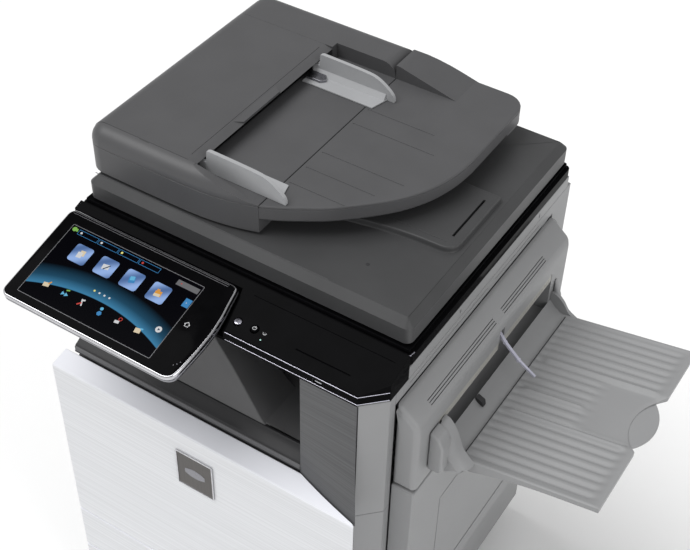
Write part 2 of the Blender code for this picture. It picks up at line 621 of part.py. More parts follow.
# ---- Lid and document feeder ----
FEEDER_LOW = 1.040           # underside of the feeder's wing
TRAY_FLOOR = 1.074
RECESS_FRONT = -0.212
RECESS_REAR = 0.152
HUMP = 0.166                 # front of the raised strip along the feeder's rear
SEAM_X = 0.0125              # between the feeder's base and its tray
GUIDE_FRONT = -0.200
GUIDE_REAR = 0.112
FEEDER_LID_PIVOT = (FEEDER_LEFT + 0.004, 0.0, 1.0590)


def lid():
    body = new_body("lid", LID_HINGE, ROOT)
    cover = box("platen_cover", (-0.292, -0.258, LID_LOW), (0.297, 0.250, LID_TOP), "dark_grey", body)
    bevel(cover, 0.007, 2)
    cut_box(cover, (-0.265, -0.218, 0.96), (0.265, 0.218, LID_LOW + 0.006))
    lip = [(0.020, -0.130), (0.150, -0.108), (0.255, -0.100), (0.275, -0.085), (0.275, 0.040), (0.255, 0.050),
           (0.020, 0.050)]
    boolean(cover, prism("lip_union", lip, "Z", LID_TOP - 0.002, LID_TOP + 0.011, None, body), "UNION")
    cut_box(cover, (0.020 - 0.01, -0.100, LID_TOP + 0.0005), (0.262, 0.040, 1.1))
    box("platen_pad", (-0.262, -0.215, RIM_TOP - 0.0005), (0.262, 0.215, LID_LOW + 0.0055), "pad_white", body)
    feeder_base(body)
    feeder_tray(body)
    feeder_cover(body)
    side_guide("front_guide", GUIDE_FRONT, 1, body)
    side_guide("rear_guide", GUIDE_REAR, -1, body)
    spin = new_body("pickup_spin", (-0.150, -0.045, 1.079), body)
    rod("pickup_roller", (-0.150, -0.045, 1.079), "Y", 0.0125, 0.080, "rubber", spin, segments=20)


def feeder_base(body):
    """Left part of the feeder: roller chamber under the cover, and the raised strip along its rear."""
    left, right = FEEDER_LEFT, SEAM_X - GAP
    plan = [(left + 0.010, -0.243), (-0.080, -0.241), (right, -0.222), (right, 0.235), (left + 0.010, 0.235),
            (left, 0.225), (left, -0.233)]
    made = prism("feeder_base", plan, "Z", LID_TOP + GAP, FEEDER_TOP, "mid_grey", body)
    cut_box(made, (SLOT_X, -0.300, TRAY_FLOOR), (0.300, HUMP, 1.2))
    cut_box(made, (-0.400, RECESS_FRONT - 0.006, 1.0530), (SLOT_X - 0.014, RECESS_REAR, 1.2))
    cut_box(made, (-0.200, RECESS_FRONT - 0.006, TRAY_FLOOR), (0.000, RECESS_REAR, 1.2))
    cut_box(made, (-0.060, -0.180, LID_TOP + 0.004), (0.100, 0.140, FEEDER_LOW - 0.004))
    for edge, drop in ((-0.243, -1), (0.235, 1)):
        slope = [(edge + drop * 0.01, 1.078), (edge, 1.078), (edge - drop * 0.022, FEEDER_TOP + 0.0005),
                 (edge + drop * 0.01, FEEDER_TOP + 0.01)]
        boolean(made, prism("slope_cutter", slope, "X", -0.40, 0.10, None, body))
    return made


def feeder_tray(body):
    """Wing that holds the stack of originals. Its front sweeps back and its rear strip falls to the right."""
    left = SEAM_X
    front = [(left, -0.222), (0.068, -0.190), (0.124, -0.147), (0.175, -0.092), (0.208, -0.030), (0.222, 0.050)]
    rear = [(0.220, 0.150), *arc((0.185, 0.200), 0.035, 0, 90, 4), (left, 0.235)]
    made = prism("feeder_tray", front + rear, "Z", FEEDER_LOW, FEEDER_TOP, "mid_grey", body)
    cut_box(made, (-0.05, -0.300, TRAY_FLOOR), (0.300, HUMP, 1.2))
    fall = [(0.020, FEEDER_TOP + 0.0005), (0.205, 1.054), (0.300, 1.046), (0.300, 1.2), (0.020, 1.2)]
    boolean(made, prism("fall_cutter", fall, "Y", HUMP - 0.01, 0.300, None, body))
    slope = [(0.245, 1.078), (0.235, 1.078), (0.213, FEEDER_TOP + 0.0005), (0.245, FEEDER_TOP + 0.01)]
    boolean(made, prism("slope_cutter", slope, "X", -0.10, 0.30, None, body))
    return made


def feeder_cover(carrier):
    """Cover over the feeder's rollers, hinged along its left edge."""
    body = new_body("feeder_lid", FEEDER_LID_PIVOT, carrier)
    left = FEEDER_LEFT
    profile = [(left, 1.0570), (left, 1.0930), (left + 0.007, FEEDER_TOP), (SLOT_X, FEEDER_TOP),
               (SLOT_X, 1.0945), (left + 0.009, 1.0945), (left + 0.0045, 1.0900), (left + 0.0045, 1.0570)]
    made = prism("feeder_cover", profile, "Y", RECESS_FRONT - 0.0055, RECESS_REAR - GAP, "mid_grey", body)
    return made


def side_guide(name, y, inward, carrier):
    """Upright fence with a foot that slides across the feeder's floor. inward is 1 or -1 along Y."""
    body = new_body(name + "_slide", (0.0, y, TRAY_FLOOR), carrier)
    base = TRAY_FLOOR + GAP
    fence = [(-0.112, base), (0.046, base), (0.042, 1.090), (0.012, 1.111), (-0.096, 1.114), (-0.098, 1.090),
             (-0.112, 1.090)]
    made = prism(name, fence, "Y", y, y + inward * 0.0045, "guide_grey", body)
    foot = [(-0.110, y + inward * 0.001), (0.034, y + inward * 0.001), (0.026, y + inward * 0.040),
            (-0.110, y + inward * 0.040)]
    return boolean(made, prism("foot_union", foot, "Z", base + 0.0001, base + 0.0022, None, body), "UNION")


def main():
    stand()
    chassis()
    outer_covers()
    corner_cover()
    front_right_panel()
    inner_exit_tray()
    inner_front_panel()
    engine()
    scanner()
    operation_bezel()
    touch_panel()
    front_cover()
    drawer(1, BASE_TOP + GAP + DRAWER_PITCH)
    drawer(2, BASE_TOP + GAP)
    exit_unit()
    exit_tray()
    sensor_arm()
    right_door()
    lid()


main()
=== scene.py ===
"""Looks of the photocopier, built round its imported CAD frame.

Every mesh is drawn in the machine frame: X to the machine's right, -Y to its front, Z up from the floor,
with X = 0 at the middle of the cabinet. ORIGIN is that frame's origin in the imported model.
"""

import json
import math

import bmesh
import bpy
from mathutils import Matrix, Vector


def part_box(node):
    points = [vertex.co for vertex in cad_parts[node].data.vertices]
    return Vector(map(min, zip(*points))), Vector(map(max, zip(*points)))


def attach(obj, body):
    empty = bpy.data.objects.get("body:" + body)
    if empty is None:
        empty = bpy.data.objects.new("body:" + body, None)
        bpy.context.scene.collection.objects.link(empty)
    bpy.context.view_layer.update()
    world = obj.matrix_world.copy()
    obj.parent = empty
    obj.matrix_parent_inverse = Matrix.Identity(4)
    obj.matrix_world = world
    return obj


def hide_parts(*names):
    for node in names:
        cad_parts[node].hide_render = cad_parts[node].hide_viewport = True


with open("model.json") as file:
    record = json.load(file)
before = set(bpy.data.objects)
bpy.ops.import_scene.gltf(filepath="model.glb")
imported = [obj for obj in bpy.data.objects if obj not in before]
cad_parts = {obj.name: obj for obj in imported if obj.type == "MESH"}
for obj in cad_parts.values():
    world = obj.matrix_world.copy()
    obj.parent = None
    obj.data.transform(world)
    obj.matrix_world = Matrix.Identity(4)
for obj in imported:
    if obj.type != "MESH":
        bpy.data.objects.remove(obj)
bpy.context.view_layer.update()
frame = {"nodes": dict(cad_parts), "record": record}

# ---- Machine frame and the sizes taken from the CAD nodes ----
RIM_DEPTH_FRONT = 0.266      # from the machine frame's origin to the scanner's front
rim_low, rim_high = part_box("scanner_rim")
ORIGIN = Vector(((rim_low.x + rim_high.x) / 2, rim_low.y + RIM_DEPTH_FRONT, 0.0))
GAP = 0.0005                 # clearance between neighbours


def extent(node):
    """Lowest and highest corner of a CAD node in the machine frame."""
    low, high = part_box(node)
    return low - ORIGIN, high - ORIGIN


LID0, LID1 = extent("platen_cover")
BASE0, BASE1 = extent("feeder_base")
WING0, WING1 = extent("feeder_tray")
COVER0, COVER1 = extent("feeder_cover")
RIM0, RIM1 = extent("scanner_rim")
BEZEL0, BEZEL1 = extent("operation_bezel")
UNIT0, UNIT1 = extent("right_exit_unit")
TRAY0, TRAY1 = extent("right_exit_tray")
CORNER0, CORNER1 = extent("corner_cover")
BAY0, BAY1 = extent("inner_exit_tray")
LID_TOP = BASE0.z - GAP
FEEDER_TOP = BASE1.z
FLOOR = extent("front_guide")[0].z - GAP    # where the originals lie
SLOT_X = COVER1.x            # right end of the feeder's cover, over the slot that takes the originals in
SEAM_X = WING0.x             # seam between the feeder's housing and its wing
HUMP = 0.166                 # front of the raised strip along the feeder's rear


# ---- Materials ----
def new_look(name, colour, roughness, metallic=0.0, specular=0.5):
    made = bpy.data.materials.new(name)
    made.use_nodes = True
    set_input(made, "Base Color", (*colour, 1.0))
    set_input(made, "Roughness", roughness)
    set_input(made, "Metallic", metallic)
    set_input(made, "Specular IOR Level", specular)
    return made


def shader_input(look, name):
    return look.node_tree.nodes["Principled BSDF"].inputs[name]


def set_input(look, name, value):
    shader_input(look, name).default_value = value


def join(look, source, target):
    look.node_tree.links.new(source, target)


def feed(look, name, source):
    """Joins an output to an input of the material's shader."""
    join(look, source, shader_input(look, name))


def add(look, kind, **inputs):
    """A shader node with the values of its inputs, by their names."""
    node = look.node_tree.nodes.new(kind)
    for key, value in inputs.items():
        node.inputs[key.replace("_", " ")].default_value = value
    return node


def chain(look, source, kind, socket, output, **inputs):
    """Puts a shader node behind an output, and returns its own output."""
    node = add(look, kind, **inputs)
    join(look, source, node.inputs[socket])
    return node.outputs[output]


def object_place(look):
    """Coordinates fixed to the piece, in metres."""
    return add(look, "ShaderNodeTexCoord").outputs["Object"]


def mapped(look, **inputs):
    """The same coordinates, scaled or turned."""
    return chain(look, object_place(look), "ShaderNodeMapping", "Vector", "Vector", **inputs)


def noise(look, scale, detail=2.0, stretch=(1.0, 1.0, 1.0), turn=(0.0, 0.0, 0.0)):
    """Noise fixed to the piece, in periods per metre, stretched along its axes."""
    place = mapped(look, Scale=stretch, Rotation=turn)
    return chain(look, place, "ShaderNodeTexNoise", "Vector", "Fac", Scale=scale, Detail=detail)


def ramp(look, source, first, last, *more):
    """Colours along a pattern, as stops of place and colour."""
    node = add(look, "ShaderNodeValToRGB")
    stops = node.color_ramp.elements
    for stop, (place, colour) in zip(stops, (first, last)):
        stop.position, stop.color = place, (*colour, 1.0)
    for place, colour in more:
        stops.new(place).color = (*colour, 1.0)
    join(look, source, node.inputs["Fac"])
    return node.outputs["Color"]


def vary_colour(look, source, colour, share, low=0.35, high=0.65):
    """Shades the colour a little darker and lighter along a pattern."""
    darker, lighter = (tuple(min(1.0, c * scale) for c in colour) for scale in (1.0 - share, 1.0 + share))
    shades = ramp(look, source, (low, darker), (high, lighter))
    feed(look, "Base Color", shades)
    return shades


def vary_roughness(look, source, low, high):
    feed(look, "Roughness", chain(look, source, "ShaderNodeMapRange", "Value", "Result",
                                  From_Min=0.3, From_Max=0.7, To_Min=low, To_Max=high))


def add_bump(look, source, strength, distance):
    feed(look, "Normal", chain(look, source, "ShaderNodeBump", "Height", "Normal",
                               Strength=strength, Distance=distance))


def glow(look, source, strength):
    feed(look, "Emission Color", source)
    set_input(look, "Emission Strength", strength)
    return look


def moulded(name, colour, roughness=0.45, specular=0.4, mottle=0.05, grain=0.12):
    """Moulded plastic: faint clouding, and a fine spark-eroded grain."""
    made = new_look(name, colour, roughness, specular=specular)
    vary_colour(made, noise(made, 14.0, 3.0), colour, mottle)
    fine = noise(made, 1500.0, 2.0)
    vary_roughness(made, fine, roughness - 0.05, roughness + 0.07)
    add_bump(made, fine, grain, 0.0004)
    return made


def brushed(name, colour, roughness, share, stretch, strength, turn=(0.0, 0.0, 0.0)):
    """Fine parallel lines, long one way and close together the other."""
    made = new_look(name, colour, roughness, specular=0.4)
    lines = noise(made, 1.0, 4.0, stretch, turn)
    vary_colour(made, lines, colour, share)
    vary_roughness(made, lines, roughness - 0.06, roughness + 0.08)
    add_bump(made, lines, strength, 0.0006)
    return made


def door_look():
    """White cover: horizontal brushed lines on its upright faces; faces that look up, such as its sloping
    top, get a lighter, bluer colour, a painted sheen of the light from above.
    """
    colour, painted_top_sheen = (0.7, 0.71, 0.73), (0.78, 0.79, 0.84, 1.0)
    made = new_look("door_white", colour, 0.38, specular=0.4)
    lines = noise(made, 1.0, 5.0, (2.2, 2.2, 420.0))
    shades = vary_colour(made, lines, colour, 0.075, 0.3, 0.7)
    normal = add(made, "ShaderNodeNewGeometry").outputs["Normal"]
    upward = chain(made, normal, "ShaderNodeSeparateXYZ", "Vector", "Z")
    # Painted sheen: faces that look up are mixed towards a lighter, bluer colour, standing in for the light
    # falling on them from above.
    mix = add(made, "ShaderNodeMix")
    mix.data_type = "RGBA"
    mix.inputs["B"].default_value = painted_top_sheen
    join(made, chain(made, upward, "ShaderNodeMapRange", "Value", "Result", From_Min=0.35, From_Max=0.8),
         mix.inputs["Factor"])
    join(made, shades, mix.inputs["A"])
    feed(made, "Base Color", mix.outputs["Result"])
    add_bump(made, lines, 0.22, 0.0006)
    return made


def glossy(name, colour, roughness, specular):
    """Polished plastic with a faint unevenness."""
    made = new_look(name, colour, roughness, specular=specular)
    cloud = noise(made, 35.0, 3.0)
    vary_colour(made, cloud, colour, 0.15)
    vary_roughness(made, cloud, roughness * 0.7, roughness * 1.4)
    add_bump(made, noise(made, 60.0, 1.0), 0.02, 0.0004)
    return made


def metal(name, colour, roughness, stretch=(60.0, 60.0, 60.0)):
    made = new_look(name, colour, roughness, metallic=1.0)
    lines = noise(made, 6.0, 3.0, stretch)
    vary_colour(made, lines, colour, 0.08)
    vary_roughness(made, lines, roughness * 0.75, roughness * 1.3)
    add_bump(made, lines, 0.015, 0.0001)
    return made


def lit(name, colour, strength):
    """A part of the display's picture: it glows, with the fine raster of its dots."""
    made = new_look(name, (0.005, 0.005, 0.005), 0.25, specular=0.05)
    dots = chain(made, object_place(made), "ShaderNodeTexChecker", "Vector", "Color", Scale=2600.0,
                 Color1=(*colour, 1.0), Color2=(*(c * 0.9 for c in colour), 1.0))
    return glow(made, dots, strength)


def lit_key():
    """A blue key of the display, with soft lighter bands."""
    made = new_look("display_key", (0.01, 0.01, 0.01), 0.25, specular=0.05)
    wave = chain(made, mapped(made, Rotation=(0.0, 0.0, 0.9)), "ShaderNodeTexWave", "Vector", "Fac",
                 Scale=9.0, Distortion=1.5, Detail=1.0)
    return glow(made, ramp(made, wave, (0.0, (0.07, 0.15, 0.36)), (1.0, (0.3, 0.46, 0.82))), 0.9)


def picture_look(centre, radius, band):
    """The display's background: black, with a blue glow that fades outwards from a black dome."""
    made = new_look("display_picture", (0.001, 0.001, 0.002), 0.14, specular=0.01)
    flat, away = (add(made, "ShaderNodeVectorMath") for _ in range(2))
    flat.operation, away.operation = "MULTIPLY", "DISTANCE"
    flat.inputs[1].default_value = (1.0, 1.0, 0.0)
    away.inputs[1].default_value = (*centre, 0.0)
    join(made, object_place(made), flat.inputs[0])
    join(made, flat.outputs["Vector"], away.inputs[0])
    share = chain(made, away.outputs["Value"], "ShaderNodeMapRange", "Value", "Result",
                  From_Min=radius, From_Max=radius + band)
    black = (0.0, 0.0, 0.0)
    return glow(made, ramp(made, share, (0.0, black), (1.0, black), (0.03, (0.045, 0.2, 0.36)),
                           (0.45, (0.012, 0.06, 0.11))), 1.0)


def clear_look(name, colour, roughness):
    """Clear moulding or glass that lets some light through."""
    made = new_look(name, colour, roughness)
    set_input(made, "Transmission Weight", 0.75)
    set_input(made, "IOR", 1.49)
    vary_roughness(made, noise(made, 120.0), roughness * 0.7, roughness * 1.5)
    return made


FEEDER_GREY = moulded("feeder_grey", (0.078, 0.078, 0.081), 0.42, 0.35, 0.04, 0.1)
LID_GREY = moulded("lid_grey", (0.05, 0.0505, 0.052), 0.42, 0.35, 0.05, 0.1)
SIDE_GREY = moulded("side_grey", (0.262, 0.264, 0.268), 0.45, 0.35, 0.012, 0.14)
BAY_GREY = moulded("bay_grey", (0.125, 0.125, 0.128), 0.45, 0.35, 0.05, 0.14)
DARK_GREY = moulded("dark_grey", (0.03, 0.03, 0.032), 0.45, 0.35, 0.06, 0.14)
GUIDE_GREY = moulded("guide_grey", (0.36, 0.365, 0.375), 0.38, 0.4, 0.03, 0.08)
STRIP_GREY = moulded("strip_grey", (0.34, 0.335, 0.31), 0.5, 0.3, 0.06, 0.1)
GLOSS_BLACK = glossy("gloss_black", (0.0026, 0.0026, 0.003), 0.1, 0.012)
DOOR_WHITE = door_look()
PANEL_BRUSHED = brushed("panel_brushed", (0.07, 0.071, 0.074), 0.4, 0.22, (3.0, 3.0, 330.0), 0.3,
                        turn=(0.0, 0.05, 0.0))
TRIM = metal("trim_silver", (0.62, 0.61, 0.7), 0.22)
CHROME = metal("chrome", (0.5, 0.5, 0.52), 0.12, (12.0, 12.0, 12.0))
SATIN = metal("satin_silver", (0.24, 0.24, 0.26), 0.32)
RIB_GREY = metal("rib_grey", (0.085, 0.085, 0.09), 0.35, (12.0, 12.0, 12.0))
BADGE = brushed("badge_brown", (0.06, 0.054, 0.05), 0.35, 0.2, (300.0, 3.0, 3.0), 0.15)
LOOKS = {
    "white": DOOR_WHITE,
    "light_grey": SIDE_GREY,
    "mid_grey": BAY_GREY,
    "dark_grey": DARK_GREY,
    "gloss_black": GLOSS_BLACK,
    "display": GLOSS_BLACK,
    "guide_grey": GUIDE_GREY,
    "steel": metal("zinc_steel", (0.5, 0.51, 0.53), 0.34, (8.0, 160.0, 160.0)),
    "frame_steel": metal("galvanised", (0.3, 0.31, 0.32), 0.48, (9.0, 9.0, 9.0)),
    "rubber": moulded("rubber", (0.022, 0.022, 0.023), 0.72, 0.3, 0.15, 0.35),
    "glass": clear_look("platen_clear", (0.75, 0.82, 0.82), 0.05),
    "pad_white": moulded("pad_white", (0.78, 0.78, 0.77), 0.65, 0.3, 0.03, 0.3),
    "cyan": moulded("toner_cyan", (0.02, 0.28, 0.5)),
    "magenta": moulded("toner_magenta", (0.5, 0.03, 0.2)),
    "yellow": moulded("toner_yellow", (0.66, 0.48, 0.03)),
    "ink_black": moulded("ink_black", (0.018, 0.018, 0.019), 0.4),
    "clear": clear_look("clear_moulding", (0.7, 0.71, 0.8), 0.12),
}
LEVER = glossy("lever_lavender", (0.42, 0.42, 0.5), 0.2, 0.5)


# ---- Mesh helpers ----
def arc(centre, radius, start, end, steps):
    """Points of an arc in degrees, both ends included."""
    turns = [math.radians(start + (end - start) * i / steps) for i in range(steps + 1)]
    return [(centre[0] + radius * math.cos(t), centre[1] + radius * math.sin(t)) for t in turns]


def circle(centre, radius, steps):
    return arc(centre, radius, 0, 360 - 360 / steps, steps - 1)


def rounded(x0, y0, x1, y1, radius, steps=5):
    """A rectangle with round corners, anticlockwise."""
    return [*arc((x0 + radius, y0 + radius), radius, 180, 270, steps),
            *arc((x1 - radius, y0 + radius), radius, 270, 360, steps),
            *arc((x1 - radius, y1 - radius), radius, 0, 90, steps),
            *arc((x0 + radius, y1 - radius), radius, 90, 180, steps)]


def smooth(points, steps=4):
    """A rounded line through the points."""
    def blend(p, q, r, s, t):
        bend, twist = 2 * p - 5 * q + 4 * r - s, 3 * q - p - 3 * r + s
        return 0.5 * (2 * q + (r - p) * t + bend * t * t + twist * t ** 3)
    padded = [points[0], *points, points[-1]]
    line = [tuple(blend(*values, i / steps) for values in zip(*four))
            for four in zip(padded, padded[1:], padded[2:], padded[3:]) for i in range(steps)]
    return line + [tuple(points[-1])]


def shrink(outline, amount):
    """The anticlockwise outline drawn in by an amount."""
    made = []
    for i, here in enumerate(outline):
        here = Vector(here)
        before = here - Vector(outline[i - 1])
        after = Vector(outline[(i + 1) % len(outline)]) - here
        inward_before = Vector((-before.y, before.x)).normalized()
        inward_after = Vector((-after.y, after.x)).normalized()
        inward = (inward_before + inward_after).normalized()
        made.append(tuple(here + inward * amount / max(0.4, inward.dot(inward_after))))
    return made


def loft(bm, loops):
    """A closed solid through loops of the same number of points."""
    rings = [[bm.verts.new(p) for p in loop] for loop in loops]
    for low, high in zip(rings, rings[1:]):
        for i in range(len(low)):
            j = (i + 1) % len(low)
            bm.faces.new((low[i], low[j], high[j], high[i]))
    bm.faces.new(rings[0])
    bm.faces.new(rings[-1])
    return bm


POINT = {
    "X": lambda a, b, t: (t, a, b),
    "Y": lambda a, b, t: (a, t, b),
    "Z": lambda a, b, t: (a, b, t),
}


def prism(outline, axis, start, end, bm=None):
    """A flat outline drawn across an axis and extruded along it."""
    return loft(bm or bmesh.new(), [[POINT[axis](a, b, t) for a, b in outline] for t in (start, end)])


def layers(outline, axis, steps, bm=None):
    """A solid whose outline is drawn in by a different amount at each place: steps are (place, amount)."""
    loops = [[POINT[axis](a, b, t) for a, b in shrink(outline, inset)] for t, inset in steps]
    return loft(bm or bmesh.new(), loops)


def box(low, high, bm=None):
    (x0, y0, z0), (x1, y1, z1) = low, high
    return prism([(x0, y0), (x1, y0), (x1, y1), (x0, y1)], "Z", z0, z1, bm)


def rod(centre, axis, radius, length, segments=32, bm=None):
    """A round bar centred on a point."""
    a, b, t = (centre[i] for i in {"X": (1, 2, 0), "Y": (0, 2, 1), "Z": (0, 1, 2)}[axis])
    return prism(circle((a, b), radius, segments), axis, t - length / 2, t + length / 2, bm)


def ring(outer, inner, low, high, bm=None):
    """A frame between two outlines of the same number of points."""
    bm = bm or bmesh.new()
    levels = [[bm.verts.new((*p, z)) for p in outline] for outline, z in
              ((outer, low), (outer, high), (inner, high), (inner, low))]
    for a, b in zip(levels, levels[1:] + levels[:1]):
        for i in range(len(a)):
            j = (i + 1) % len(a)
            bm.faces.new((a[i], a[j], b[j], b[i]))
    return bm


def ribbon(path, width, height, bm=None):
    """A flat bar along a path of points, width across it and height along Z."""
    path = [Vector(p) for p in path]
    loops = []
    for i, here in enumerate(path):
        ahead = path[min(i + 1, len(path) - 1)] - path[max(i - 1, 0)]
        side = Vector((ahead.y, -ahead.x, 0.0)).normalized() * width / 2
        up = Vector((0.0, 0.0, height / 2))
        loops.append([here - side - up, here + side - up, here + side + up, here - side + up])
    return loft(bm or bmesh.new(), loops)


def new_object(name, bm, place=None):
    bmesh.ops.recalc_face_normals(bm, faces=bm.faces)
    mesh = bpy.data.meshes.new(name)
    bm.to_mesh(mesh)
    bm.free()
    obj = bpy.data.objects.new(name, mesh)
    bpy.context.scene.collection.objects.link(obj)
    obj.matrix_world = Matrix.Translation(ORIGIN) @ (place or Matrix.Identity(4))
    return obj


def make(name, bm, look, body, replaces=(), place=None):
    """A finished piece that rides on a CAD body."""
    obj = new_object(name, bm, place)
    obj.data.materials.append(look)
    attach(obj, body)
    if replaces:
        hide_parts(*replaces)
    return obj


def carve(obj, bm, place=None, operation="DIFFERENCE"):
    """Cuts solids out of a piece, or joins them to it with UNION."""
    cutter = new_object("cutter", bm, place)
    modifier = obj.modifiers.new("carve", "BOOLEAN")
    modifier.object = cutter
    modifier.operation = operation
    modifier.solver = "EXACT"
    bpy.context.view_layer.update()
    result = bpy.data.meshes.new_from_object(obj.evaluated_get(bpy.context.evaluated_depsgraph_get()))
    obj.modifiers.clear()
    obj.data = result
    bpy.data.objects.remove(cutter)
    return obj


def soften(obj, width, segments=3, angle=30.0):
    """Rounds a piece's edges and keeps its flat faces flat."""
    obj.data.shade_smooth()
    if width:
        modifier = obj.modifiers.new("bevel", "BEVEL")
        modifier.width = width
        modifier.segments = segments
        modifier.limit_method = "ANGLE"
        modifier.angle_limit = math.radians(angle)
        modifier.miter_outer = "MITER_ARC"
        modifier.use_clamp_overlap = True
    obj.modifiers.new("weighted", "WEIGHTED_NORMAL").keep_sharp = True
    return obj


# ---- CAD nodes that are shown themselves ----
def dress_frame():
    """Gives each CAD node the material of its slot, and rounds its edges."""
    for part in frame["record"]["subparts"]:
        node = frame["nodes"][part["node"]]
        node.data.materials.clear()
        node.data.materials.append(LOOKS[part["material_slot"]])
        weld = node.modifiers.new("weld", "WELD")
        weld.merge_threshold = 0.00002
        flatten = node.modifiers.new("flatten", "DECIMATE")
        flatten.decimate_type = "DISSOLVE"
        flatten.angle_limit = math.radians(0.5)
        soften(node, 0.0012, 2, 35.0)
    frame["nodes"]["front_right_panel"].data.materials[0] = PANEL_BRUSHED
    frame["nodes"]["inner_exit_tray"].data.materials[0] = BAY_GREY


# ---- Lid ----
def lid_shell():
    """Platen cover: upright edge, a chamfer all round its top, and the plateau where originals come out."""
    plan = rounded(LID0.x, LID0.y, LID1.x, LID1.y, 0.012)
    chamfer = 0.0125
    steps = [(LID0.z, 0.002), (LID0.z + 0.002, 0.0), (LID_TOP - chamfer, 0.0), (LID_TOP, chamfer)]
    obj = make("lid_shell", layers(plan, "Z", steps), LID_GREY, "lid", ["platen_cover"])
    carve(obj, box((-0.265, -0.218, 0.96), (0.265, 0.218, LID0.z + 0.006)))
    soften(obj, 0.0016, 3, 20.0)
    front = smooth([(0.02, -0.14), (0.085, -0.124), (0.15, -0.11), (0.205, -0.103), (0.248, -0.101)])
    outline = [*front, *arc((0.253, -0.079), 0.022, -90, 0, 5), (0.275, 0.05), (0.02, 0.05)]
    top = LID1.z - 0.0005
    steps = [(LID_TOP - 0.003, -0.004), (LID_TOP + 0.0005, -0.001), (LID_TOP + 0.003, 0.0),
             (top - 0.0035, 0.0), (top - 0.001, 0.0012), (top, 0.0038)]
    exit_deck = make("document_exit_deck", layers(outline, "Z", steps), LID_GREY, "lid")
    carve(exit_deck, box((0.256, -0.072, top - 0.007), (0.26, 0.028, top + 0.01)))
    carve(exit_deck, box((0.0, -0.0885, top - 0.0006), (0.256, -0.0877, top + 0.01)))
    soften(exit_deck, 0.0008, 2, 30.0)
    # Painted highlight: a grey line, lighter than the lid, along the lid's top just behind its front
    # chamfer, at the foot of the feeder.
    ridge_highlight = ribbon([(x, -0.244, LID_TOP + 0.0001) for x in (-0.286, 0.15)], 0.0011, 0.0008)
    soften(make("lid_ridge_highlight", ridge_highlight, FEEDER_GREY, "lid"), 0.0003, 2)
    mark = rod((0.18, -0.185, LID_TOP), "Z", 0.003, 0.0012, 20)
    soften(make("lid_mark", mark, DARK_GREY, "lid"), 0.0003, 2)


# ---- Document feeder ----
SHOULDER = 0.025             # radius of the feeder's top edges
GROOVE_LEVEL = FLOOR - 0.004                # groove all round the feeder, under its top part
GROOVE = [(GROOVE_LEVEL - 0.0008, 0.0), (GROOVE_LEVEL - 0.0002, 0.001), (GROOVE_LEVEL + 0.0004, 0.001),
          (GROOVE_LEVEL + 0.001, 0.0)]
WING_CORNER = ((0.186, 0.199), 0.0355, 0, 90)      # its right rear corner, as an arc
ABOVE = 1.2                  # a height over everything, for cuts that are open at the top


def shoulder_steps(level, radius, steps=7):
    """Height and inset of a quarter-round edge that ends at a level."""
    return [(level - radius + radius * math.sin(t), radius * (1 - math.cos(t)))
            for t in (math.pi / 2 * i / steps for i in range(steps + 1))]


def feeder_housing():
    """Left half of the feeder: rounded on three sides, open for its cover, with a falling front rail."""
    left, right, rear = BASE0.x, BASE1.x, BASE1.y
    corner = 0.03
    front = smooth([(left + corner, BASE0.y), (-0.15, -0.2428), (-0.08, -0.2405), (-0.03, -0.233),
                    (right, -0.2215)])
    plan = [*arc((left + corner, BASE0.y + corner), corner, 180, 264, 6), *front, (right, rear),
            *arc((left + corner, rear - corner), corner, 90, 180, 6)]
    steps = [(BASE0.z, 0.005), (BASE0.z + 0.0035, 0.005), (BASE0.z + 0.005, 0.0), *GROOVE,
             *shoulder_steps(FEEDER_TOP - 0.0002, SHOULDER)]
    loops = [[(min(x, right), y, z) for x, y in shrink(plan, inset)] for z, inset in steps]
    obj = make("feeder_housing", loft(bmesh.new(), loops), FEEDER_GREY, "lid", ["feeder_base"])
    rail = extent("front_guide")[0].y - 0.0015
    carve(obj, box((SLOT_X, rail, FLOOR), (0.3, HUMP, ABOVE)))
    fall = smooth([(SLOT_X, FEEDER_TOP - 0.0012), (-0.085, FEEDER_TOP - 0.004), (-0.055, FEEDER_TOP - 0.01),
                   (-0.025, FLOOR + 0.0085), (-0.005, FLOOR + 0.002), (right, FLOOR)], 4)
    carve(obj, prism([*fall, (0.3, FLOOR), (0.3, ABOVE), (SLOT_X, ABOVE)], "Y", -0.3, rail))
    carve(obj, box((-0.4, COVER0.y - GAP, 1.053), (SLOT_X - 0.014, COVER1.y + GAP, ABOVE)))
    carve(obj, box((-0.2, COVER0.y - GAP, FLOOR), (0.0, COVER1.y + GAP, ABOVE)))
    carve(obj, box((-0.06, -0.18, LID_TOP + 0.004), (0.1, 0.14, 1.036)))
    soften(obj, 0.0009, 2, 35.0)


def feeder_top_cover():
    """Curved cover of the rollers, with a tab over the slot and a small mark at its front."""
    left, top = COVER0.x, COVER1.z
    under, thick = COVER0.z, 0.0045
    turn = (left + SHOULDER, top - SHOULDER)
    outline = [(left, under), (left + thick, under), *arc(turn, SHOULDER - thick, 180, 90, 6),
               (SLOT_X - 0.002, top - thick - 0.001), (SLOT_X, top - 0.004), (SLOT_X - 0.016, top),
               *arc(turn, SHOULDER, 90, 180, 7)]
    bm = prism(outline, "Y", COVER0.y, COVER1.y)
    obj = make("feeder_top_cover", bm, FEEDER_GREY, "feeder_lid", ["feeder_cover"])
    tab = [(SLOT_X - 0.0145, -0.105), (SLOT_X - 0.0005, -0.096), (SLOT_X - 0.0005, 0.0),
           (SLOT_X - 0.0145, 0.009)]
    carve(obj, prism(tab, "Z", top - 0.0042, top - 0.0003), operation="UNION")
    carve(obj, box((SLOT_X - 0.018, COVER0.y + 0.012, top - 0.0007),
                   (SLOT_X - 0.0172, COVER1.y - 0.012, top + 0.01)))
    soften(obj, 0.0008, 2, 25.0)
    grip = [(-0.012, 0.0), (0.012, 0.0), (0.0085, -0.0035), (-0.0085, -0.0035)]
    place = Matrix.Translation((-0.2, COVER0.y + 0.0012, top - 0.0006))
    soften(make("feeder_cover_mark", prism(grip, "Z", 0.0, 0.0005), LID_GREY, "feeder_lid",
                place=place), 0.0002)


